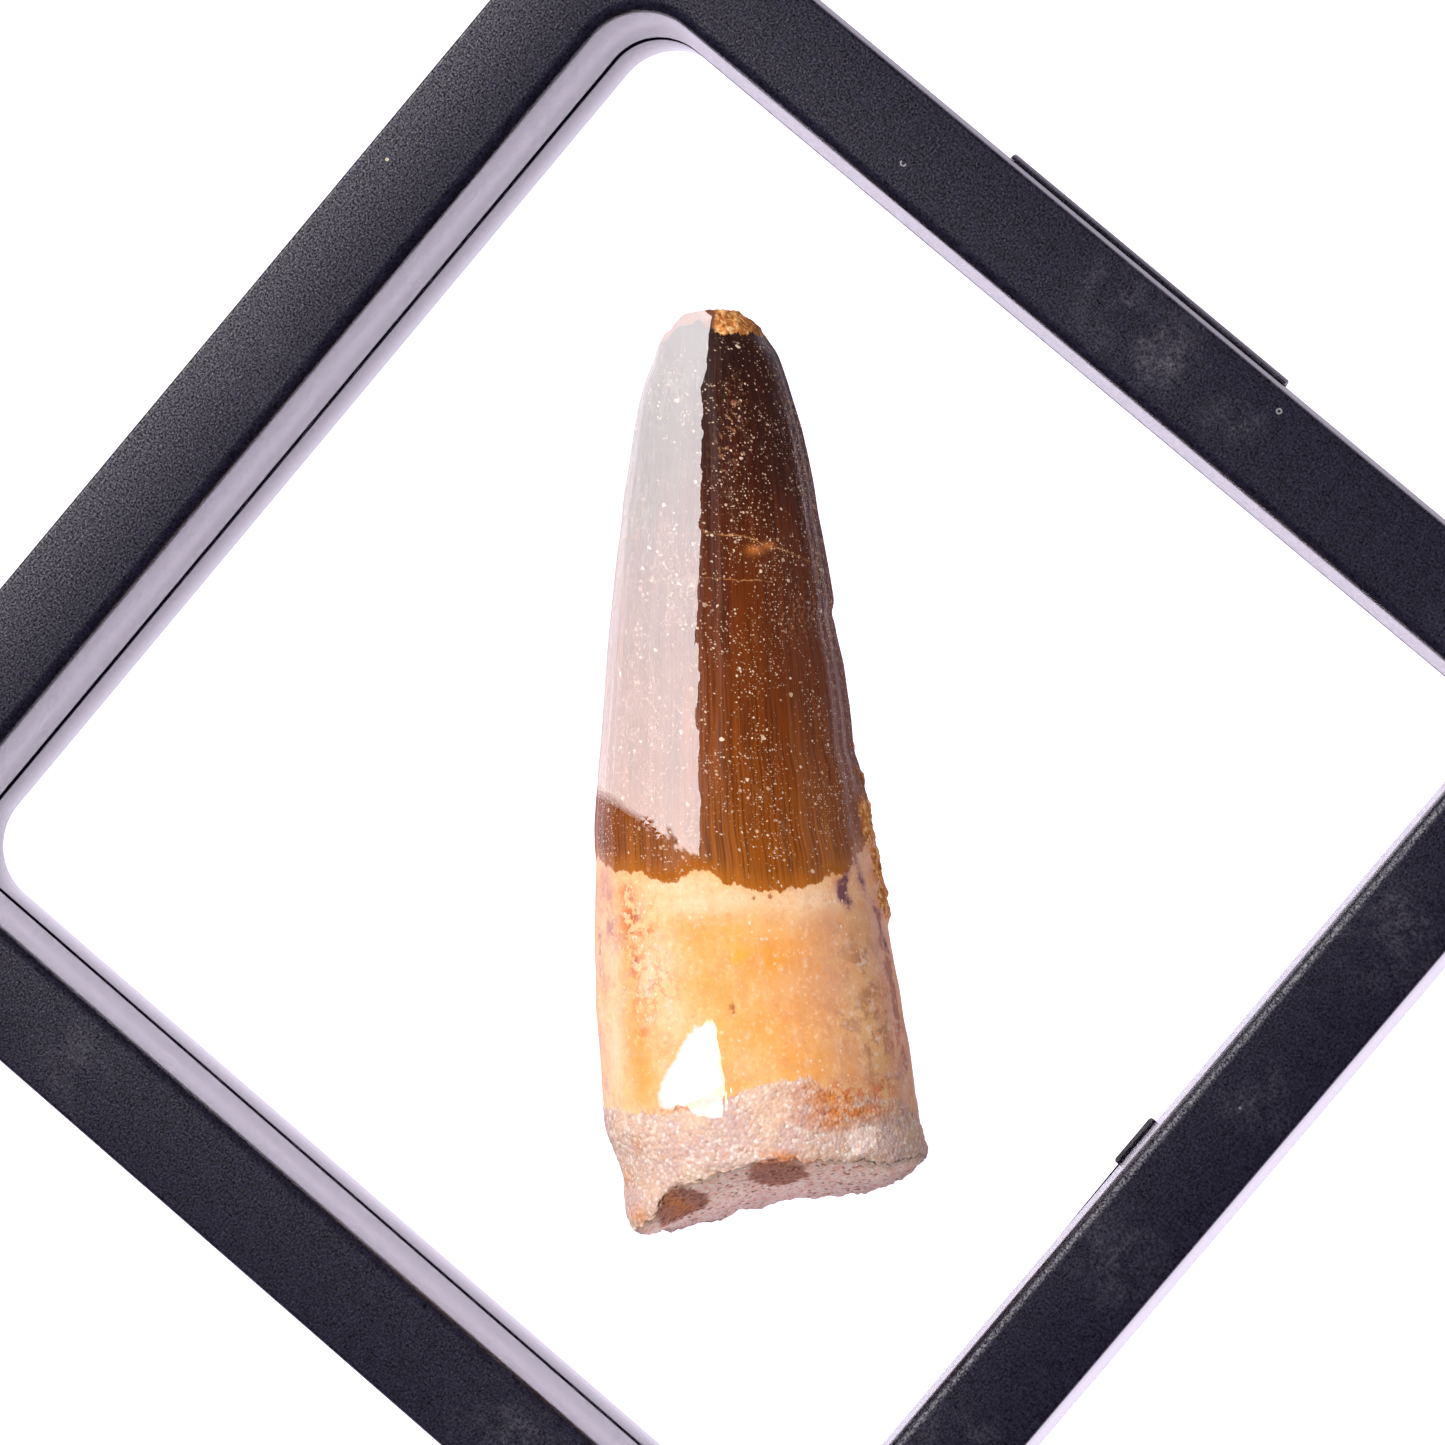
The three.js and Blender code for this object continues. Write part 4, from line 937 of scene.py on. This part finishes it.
def tooth_material():
    t = Tree("fossil")
    at, uv, run = t.place(), t.uv(), t.uv("run")
    x = t.split(uv)
    s_mm, v_mm = x[0], x[1]
    fine_jag = t.add(t.mul(t.sub(t.noise(t.scaled(run, (0.45, 2.2, 1)), 1.0, 3.0, 0.65), 0.5), 1.9), t.mul(t.sub(t.noise(uv, 4.0, 2.0, 0.6), 0.5), 0.5))
    # ---- enamel
    streaks = t.noise(t.scaled(run, (0.04, 1.5, 1)), 1.0, 4.0, 0.65)
    thin = t.noise(t.scaled(run, (0.12, 6.0, 1)), 1.0, 3.0, 0.6)
    broad = t.noise(t.scaled(run, (0.10, 0.30, 1), shift=(3, 1, 0)), 1.0, 2.0, 0.5)
    along = t.mul(t.add(s_mm, t.add(t.mul(t.sub(streaks, 0.5), 17.0), t.mul(t.sub(broad, 0.5), 11.0))), 1 / 40.0)
    base = t.ramp(along, [(0.0, lin(26, 8, 5)), (0.12, lin(38, 13, 7)), (0.28, lin(60, 22, 7)), (0.42, lin(92, 39, 8)), (0.55, lin(102, 46, 9)),
                          (0.70, lin(120, 57, 11)), (0.84, lin(138, 72, 15)), (1.0, lin(160, 92, 32))])
    enamel_c = t.mix(t.remap(thin, 0.40, 0.68, 0.0, 0.62), base, lin(30, 12, 9))
    enamel_c = t.mix(t.remap(thin, 0.62, 0.80, 0.0, 0.30), enamel_c, lin(176, 112, 62))
    # reddish to the right, and greyer still near the right edge
    side = t.remap(v_mm, 5.0, -1.0)
    enamel_c = t.mix(t.mul(side, 0.60), enamel_c, lin(92, 50, 38))
    # ---- root
    soft = t.noise(t.scaled(run, (0.55, 1.1, 1), shift=(5, 2, 0)), 1.0, 5.0, 0.72)
    cloud = t.noise(at, 420, 4.0, 0.6)
    veins = t.noise(at, 900, 5.0, 0.7)
    lines = t.noise(t.scaled(run, (0.10, 2.4, 1)), 1.0, 4.0, 0.65)
    root_c = t.mix(t.remap(cloud, 0.35, 0.7), lin(240, 200, 146), lin(230, 178, 122))
    root_c = t.mix(t.mul(t.attr("honey"), t.remap(cloud, 0.2, 0.75, 0.7, 1.0)), root_c, lin(236, 158, 52))
    root_c = t.mix(t.mul(t.remap(t.noise(at, 210, 3.0, 0.5), 0.5, 0.66), 0.55), root_c, lin(236, 182, 112))
    root_c = t.mix(t.mul(t.attr("honey"), t.remap(t.noise(at, 330, 3.0, 0.55), 0.56, 0.72)), root_c, lin(240, 170, 48))
    root_c = t.mix(t.mul(t.attr("tan"), 0.85), root_c, lin(214, 150, 108))
    root_c = t.mix(t.mul(t.remap(v_mm, 6.4, 2.6), t.remap(soft, 0.35, 0.62, 0.35, 0.85)), root_c, lin(226, 176, 150))
    root_c = t.mix(t.mul(t.attr("pale"), t.remap(cloud, 0.3, 0.6, 0.5, 0.95)), root_c, lin(242, 216, 182))
    root_c = t.mix(t.remap(lines, 0.56, 0.76, 0.0, 0.35), root_c, lin(246, 220, 184))
    root_c = t.mix(t.remap(lines, 0.42, 0.26, 0.0, 0.30), root_c, lin(214, 150, 92))
    root_c = t.mix(t.remap(soft, 0.54, 0.72, 0.0, 0.45), root_c, lin(248, 222, 184))
    root_c = t.mix(t.remap(soft, 0.47, 0.30, 0.0, 0.50), root_c, lin(232, 150, 66))
    speckle = t.noise(at, 3300, 2.0, 0.6)
    root_c = t.mix(t.remap(speckle, 0.58, 0.72, 0.0, 0.32), root_c, lin(252, 230, 196))
    root_c = t.mix(t.remap(speckle, 0.44, 0.30, 0.0, 0.28), root_c, lin(206, 138, 84))
    
    ridge = t.maths("ABSOLUTE", t.sub(t.noise(at, 620, 4.0, 0.65), 0.5))
    root_c = t.mix(t.mul(t.attr("net"), t.remap(ridge, 0.055, 0.012, 0.0, 0.75)), root_c, lin(214, 138, 100))
    root_c = t.mix(t.mul(t.attr("net"), t.remap(veins, 0.54, 0.64, 0.0, 0.7)), root_c, lin(248, 232, 214))
    root_c = t.mix(t.mul(t.attr("mauve"), t.remap(veins, 0.38, 0.60, 0.25, 1.0)), root_c, lin(182, 122, 128))
    root_c = t.mix(t.mul(t.attr("mottle"), t.remap(veins, 0.46, 0.58)), root_c, lin(156, 108, 76))
    root_c = t.mix(t.mul(t.attr("mottle"), t.remap(t.noise(at, 1500, 3.0, 0.6), 0.54, 0.64)), root_c, lin(238, 218, 200))
    rust_f = t.mul(t.attr("rust"), t.remap(t.noise(at, 1500, 4.0, 0.7), 0.46, 0.54))
    root_c = t.mix(rust_f, root_c, t.mix(t.remap(veins, 0.50, 0.66), lin(206, 104, 50), lin(158, 58, 34)))
    edge_noise = t.remap(veins, 0.30, 0.62, -0.35, 0.35)
    root_c = t.mix(t.remap(t.add(t.attr("redline"), edge_noise), 0.35, 0.85, 0.0, 0.75), root_c, lin(166, 96, 72))
    root_c = t.mix(t.remap(t.add(t.attr("plum"), t.mul(edge_noise, 0.8)), 0.10, 0.60, 0.0, 0.45), root_c, lin(176, 118, 122))
    root_c = t.mix(t.remap(t.add(t.attr("plum"), edge_noise), 0.45, 0.95, 0.0, 0.92), root_c, lin(98, 58, 72))
    root_c = t.mix(t.remap(t.add(t.attr("dark"), t.mul(edge_noise, 0.6)), 0.35, 0.75, 0.0, 0.85), root_c, lin(158, 88, 44))
    flecks = t.voronoi(t.scaled(run, (0.7, 1, 1)), 2.6, "2D")
    fr = t.split(flecks.outputs["Color"])
    scratchy = t.noise(t.scaled(run, (0.5, 1, 1), (0, 0, 0.7)), 3.5, 2.0, 0.6)
    fleck = t.mul(t.remap(t.add(flecks.outputs["Distance"], t.mul(t.sub(scratchy, 0.5), 0.6)), 0.20, 0.10), t.maths("GREATER_THAN", fr[0], 0.80))
    root_c = t.mix(t.mul(t.mul(fleck, t.remap(broad, 0.35, 0.65, 0.1, 1.0)), 0.65), root_c, lin(252, 236, 212))
    # ---- sandstone
    g1 = t.voronoi(at, 4300)
    c1 = t.split(g1.outputs["Color"])
    stone_c = t.ramp(c1[0], [(0.0, lin(206, 166, 150)), (0.25, lin(226, 192, 173)), (0.45, lin(222, 178, 148)), (0.65, lin(212, 180, 172)), (0.85, lin(234, 208, 190)), (1.0, lin(244, 228, 214))])
    stone_c = t.mix(t.mul(t.maths("GREATER_THAN", c1[1], 0.93), 0.6), stone_c, lin(176, 132, 114))
    stone_c = t.mix(t.remap(g1.outputs["Distance"], 0.35, 0.75, 0.0, 0.22), stone_c, lin(176, 134, 116))
    big = t.noise(at, 300, 3.0, 0.5)
    stone_c = t.mix(t.remap(big, 0.46, 0.66, 0.0, 0.5), stone_c, lin(208, 168, 162))
    stone_c = t.mix(t.remap(big, 0.52, 0.34, 0.0, 0.45), stone_c, lin(238, 196, 160))
    end_c = t.mix(c1[2], lin(246, 187, 174), lin(255, 240, 230))
    stone_c = t.mix(1.0, stone_c, (0.94, 1.0, 1.03, 1), "MULTIPLY")
    end_c = t.mix(t.maths("GREATER_THAN", c1[1], 0.92), end_c, lin(176, 136, 124))
    stone_c = t.mix(t.attr("broken"), stone_c, end_c)
    stone_c = t.mix(t.mul(t.attr("lump"), 0.92), stone_c, t.mix(c1[0], lin(112, 62, 48), lin(196, 132, 108)))
    stone_rust = t.mul(t.attr("rust"), t.remap(t.noise(at, 1300, 4.0, 0.65), 0.36, 0.50))
    stone_c = t.mix(stone_rust, stone_c, t.mix(c1[0], lin(186, 100, 40), lin(228, 146, 72)))
    # ---- worn tip and crust
    rust_c = t.ramp(c1[0], [(0.0, lin(150, 84, 36)), (0.4, lin(198, 126, 58)), (0.75, lin(222, 156, 88)), (1.0, lin(238, 196, 140))])
    # ---- together
    enamel_f = t.remap(t.add(t.attr("enamel"), t.mul(fine_jag, 0.55)), -0.05, 0.07)
    stone_f = t.remap(t.add(t.attr("stone"), t.mul(fine_jag, 0.8)), -0.06, 0.08)
    cap_f = t.remap(t.add(t.attr("cap"), t.mul(fine_jag, 0.5)), -0.05, 0.06)
    # the enamel thins out to amber at its lower edge
    edge = t.mul(t.remap(t.attr("enamel"), 1.6, 0.0), enamel_f)
    enamel_c = t.mix(t.mul(edge, 0.55), enamel_c, lin(186, 108, 30))
    root_c = t.mix(1.0, root_c, (0.98, 0.94, 0.93, 1), "MULTIPLY")
    colour = t.mix(enamel_f, root_c, enamel_c)
    # sand grains and dust caught between film and enamel
    shake = t.nt.nodes.new("ShaderNodeVectorMath")
    shake.operation = "MULTIPLY_ADD"
    t.set(shake.inputs[0], t.noise(uv, 5.0, 2.0, 0.6, out="Color"))
    shake.inputs[1].default_value = (0.16, 0.16, 0.0)
    t.set(shake.inputs[2], uv)
    shaken = shake.outputs[0]
    patch = t.noise(t.scaled(uv, (0.14, 0.34, 1), shift=(7, 3, 0)), 1.0, 3.0, 0.6)
    speck, speck_c = None, None
    for scale, small, large, rare, common in ((4.2, 0.08, 0.34, 0.985, 0.78), (1.7, 0.04, 0.24, 0.985, 0.88), (7.2, 0.12, 0.38, 0.97, 0.66)):
        v = t.voronoi(t.scaled(shaken, (0.85, 1, 1)), scale, "2D")
        sr = t.split(v.outputs["Color"])
        many = t.remap(patch, 0.36, 0.64, rare, common)
        one = t.mul(t.maths("LESS_THAN", v.outputs["Distance"], t.add(small, t.mul(sr[1], large - small))), t.maths("GREATER_THAN", sr[0], many))
        one = t.mul(one, t.add(0.22, t.mul(sr[2], 0.78)))
        shade = t.mix(sr[2], lin(168, 116, 74), lin(236, 214, 184))
        speck_c = shade if speck is None else t.mix(one, speck_c, shade)
        speck = one if speck is None else t.maths("MAXIMUM", speck, one)
    speck = t.mul(speck, t.remap(s_mm, 1.5, 3.0))
    haze = t.mul(t.remap(t.noise(t.scaled(uv, (0.5, 0.9, 1), shift=(1, 9, 0)), 1.0, 5.0, 0.7), 0.56, 0.78), t.remap(patch, 0.42, 0.62))
    on_crown = t.mul(speck, enamel_f)
    colour = t.mix(t.mul(t.mul(haze, enamel_f), 0.30), colour, lin(176, 146, 122))
    colour = t.mix(t.mul(on_crown, 0.95), colour, speck_c)
    shift_line = t.mul(t.sub(t.noise(uv, 2.3, 3.0, 0.6), 0.5), 0.42)
    broken_line = t.remap(t.noise(uv, 3.1, 3.0, 0.6), 0.36, 0.56)
    for name, wide, k in (("crack_a", 0.085, 0.75), ("crack_b", 0.06, 0.65)):
        d = t.maths("ABSOLUTE", t.add(t.attr(name), shift_line))
        line = t.mul(t.mul(t.remap(d, wide, wide * 0.35), t.attr(name + "_on")), t.mul(broken_line, k))
        colour = t.mix(line, colour, t.mix(c1[0], lin(176, 112, 56), lin(208, 156, 98)))
    colour = t.mix(t.mul(t.mul(t.attr("rust"), enamel_f), 0.8), colour, lin(190, 110, 46))
    # painted reflection: the pale patch laid over the root's colour in place of part of the lamp's mirror image in the
    # film
    colour = t.mix(t.mul(t.attr("painted_reflection"), t.sub(1.0, stone_f)), colour, lin(232, 222, 218))
    colour = t.mix(stone_f, colour, stone_c)
    dust = t.mul(t.attr("rim_dust"), t.remap(t.noise(t.scaled(uv, (0.7, 1, 1)), 3.2, 4.0, 0.7), 0.53, 0.62))
    colour = t.mix(t.mul(t.mul(dust, enamel_f), 0.8), colour, t.mix(c1[0], lin(168, 100, 58), lin(214, 164, 120)))
    ragged = t.add(t.mul(t.sub(t.noise(at, 700, 4.0, 0.7), 0.5), 2.6), t.attr("crust"))
    rusty = t.maths("MAXIMUM", cap_f, t.mul(t.remap(ragged, 0.46, 0.62), t.maths("GREATER_THAN", t.attr("crust"), 0.02)))
    colour = t.mix(rusty, colour, t.mix(t.mul(cap_f, t.attr("cap_left")), rust_c, lin(116, 70, 50)))
    # ---- relief finer than the mesh
    grains = t.add(t.mul(g1.outputs["Distance"], -1.0), t.mul(t.noise(at, 5200, 2.0, 0.6), 0.5))
    rough_part = t.maths("MAXIMUM", stone_f, rusty)
    h_en = t.add(t.mul(thin, 0.6), t.add(t.mul(streaks, 0.6), t.mul(speck, 0.55)))
    h_root = t.add(t.mul(cloud, 0.7), t.mul(veins, 0.35))
    height = t.add(t.mul(t.mul(grains, rough_part), 0.00006), t.mul(t.add(t.mul(h_en, enamel_f), t.mul(h_root, t.sub(1.0, enamel_f))), 0.00005))
    normal = t.bump(height, 1.0, 1.0)
    rough = t.add(t.mul(enamel_f, 0.22), t.mul(t.sub(1.0, enamel_f), 0.30))
    rough = t.add(rough, t.mul(t.sub(thin, 0.5), 0.08))
    rough = t.maths("MAXIMUM", rough, t.mul(t.attr("side"), 0.62))
    rough = t.maths("MAXIMUM", rough, t.mul(rough_part, 0.92))
    rough = t.maths("MAXIMUM", rough, t.mul(on_crown, 0.75))
    colour = t.mix(1.0, colour, (0.80, 0.80, 0.80, 1), "MULTIPLY")
    gloss = t.mul(t.add(0.16, t.mul(enamel_f, 0.06)), t.sub(1.0, t.mul(t.attr("side"), 0.8)))
    return t.surface(Base_Color=colour, Roughness=rough, Normal=normal, IOR=1.5, Specular_IOR_Level=gloss)


frame_mat = plastic_material("frame_plastic")
put(front, frame_mat, "front_half", "front_bezel")
put(back, frame_mat, "back_half", "back_bezel")
put(hinge, frame_mat, replaces="hinge_web")
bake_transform(hinge)
ring_mat = ring_material()
for name in ("front_clamp_ring", "back_clamp_ring"):
    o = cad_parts[name]
    o.data.materials.clear()
    o.data.materials.append(ring_mat)
film_mat = film_material()
put(front_film, film_mat, "front_half", "front_film")
put(back_film, film_mat, "back_half", "back_film")
put(tooth, tooth_material(), "back_half", "tooth")
for o in (front_film, back_film):
    o.visible_shadow = o.visible_diffuse = False


# =====================================================================================
# camera, light, floor
# =====================================================================================
CAM_X, CAM_Y, CAM_Z = Vector((0.75779, 0.64282, -0.112)), Vector((-0.64396, 0.76445, 0.0305)), Vector((0.10523, 0.04901, 0.99324))
camera = bpy.data.objects.new("camera", bpy.data.cameras.new("camera"))
bpy.context.scene.collection.objects.link(camera)
turn = Matrix((CAM_X, CAM_Y, CAM_Z)).transposed().to_4x4()
camera.matrix_world = Matrix.Translation(Vector((0.04097, 0.02379, 0.41977))) @ turn
camera.data.lens, camera.data.sensor_width = 152.80, 36.0
camera.data.clip_start, camera.data.clip_end = 0.01, 50
bpy.context.scene.camera = camera


def aim(az, el):
    """Direction in the row frame from angles off the camera's line of sight, right and up."""
    d = CAM_X * math.tan(math.radians(az)) + CAM_Y * math.tan(math.radians(el)) + CAM_Z
    return d.normalized()


def softbox(name, az, el, distance, width, height, radiance, shift=(0, 0), tint=(1, 1, 1), roll=0.0):
    """A rectangular lamp that faces the tooth."""
    d = aim(az, el)
    e1 = CAM_Y.cross(d).normalized()
    e2 = d.cross(e1)
    light = bpy.data.lights.new(name, "AREA")
    light.shape, light.size, light.size_y = "RECTANGLE", width, height
    light.energy = radiance * 4 * width * height        # a lamp's radiance is a quarter of its watts per square metre
    light.color = tint
    o = bpy.data.objects.new(name, light)
    bpy.context.scene.collection.objects.link(o)
    basis = Matrix((e1, e2, d)).transposed().to_4x4()
    o.matrix_world = Matrix.Translation(Vector((0, 0, 0.012)) + d * distance + e1 * shift[0] + e2 * shift[1]) @ basis @ Matrix.Rotation(math.radians(roll), 4, "Z")
    o.visible_camera = False
    o.visible_transmission = False      # its light reaches the tooth straight through the films, and is counted once
    return o


# the key fades out along its lower edge
key = [(-0.240 + 0.0582 * i, -0.240 + 0.0582 * (i + 1), 8.3 + 0.29 * i, 0.0) for i in range(10)]
key += [(-0.2595, -0.2175, 8.3, -4.4), (-0.2625, -0.2595, 6.2, -4.4), (-0.2655, -0.2625, 4.1, -4.4), (-0.2685, -0.2655, 2.0, -4.4)]
for k, (low, high, level, roll) in enumerate(key):
    softbox(f"key_{k}", -38, 33, 0.75, 0.555, high - low, level, shift=(-0.0725, (high + low) / 2), tint=(1, 0.955, 0.975), roll=roll)
softbox("fill", 56, 14, 0.9, 0.36, 0.62, 2.5, shift=(0, 0.20), tint=(1, 0.93, 0.96))
softbox("low", 8, -50, 0.9, 0.6, 0.35, 7.0, tint=(1, 0.95, 0.94)).visible_glossy = False

floor = make("floor", np.array([(-3000, -3000, -0.3), (3000, -3000, -0.3), (3000, 3000, -0.3), (-3000, 3000, -0.3)], float), [np.array([(0, 1, 2, 3)])])
ft = Tree("pale_table")
paper = ft.noise(ft.place(), 40, 2.0, 0.5)
fs = ft.node("ShaderNodeEmission", Color=ft.mix(paper, (1.0, 0.895, 1.095, 1), (1.0, 0.905, 1.105, 1)), Strength=1.9)
ft.nt.links.new(fs.outputs[0], ft.out.inputs["Surface"])
ft.mat.cycles.emission_sampling = "NONE"
floor.data.materials.append(ft.mat)

world = bpy.data.worlds.new("studio")
bpy.context.scene.world = world
world.use_nodes = True
wn = world.node_tree
wn.nodes.clear()
wo = wn.nodes.new("ShaderNodeOutputWorld")
seen, dim, pick, path = (wn.nodes.new(k) for k in ("ShaderNodeBackground", "ShaderNodeBackground", "ShaderNodeMixShader", "ShaderNodeLightPath"))
seen.inputs["Color"].default_value = (1, 1, 1, 1)
dim.inputs["Color"].default_value = (0.02, 0.02, 0.022, 1)
wn.links.new(path.outputs["Is Camera Ray"], pick.inputs[0])
wn.links.new(dim.outputs[0], pick.inputs[1])
wn.links.new(seen.outputs[0], pick.inputs[2])
wn.links.new(pick.outputs[0], wo.inputs["Surface"])
world.cycles.sampling_method = "NONE"

cycles = bpy.context.scene.cycles
cycles.sampling_pattern = "TABULATED_SOBOL"      # the lamp mirrored in the film is found by few samples, and this spreads them best
cycles.max_bounces, cycles.diffuse_bounces, cycles.glossy_bounces, cycles.transmission_bounces = 8, 2, 3, 8
view = bpy.context.scene.view_settings
view.view_transform, view.look, view.exposure, view.gamma = "Standard", "None", 0.0, 1.0
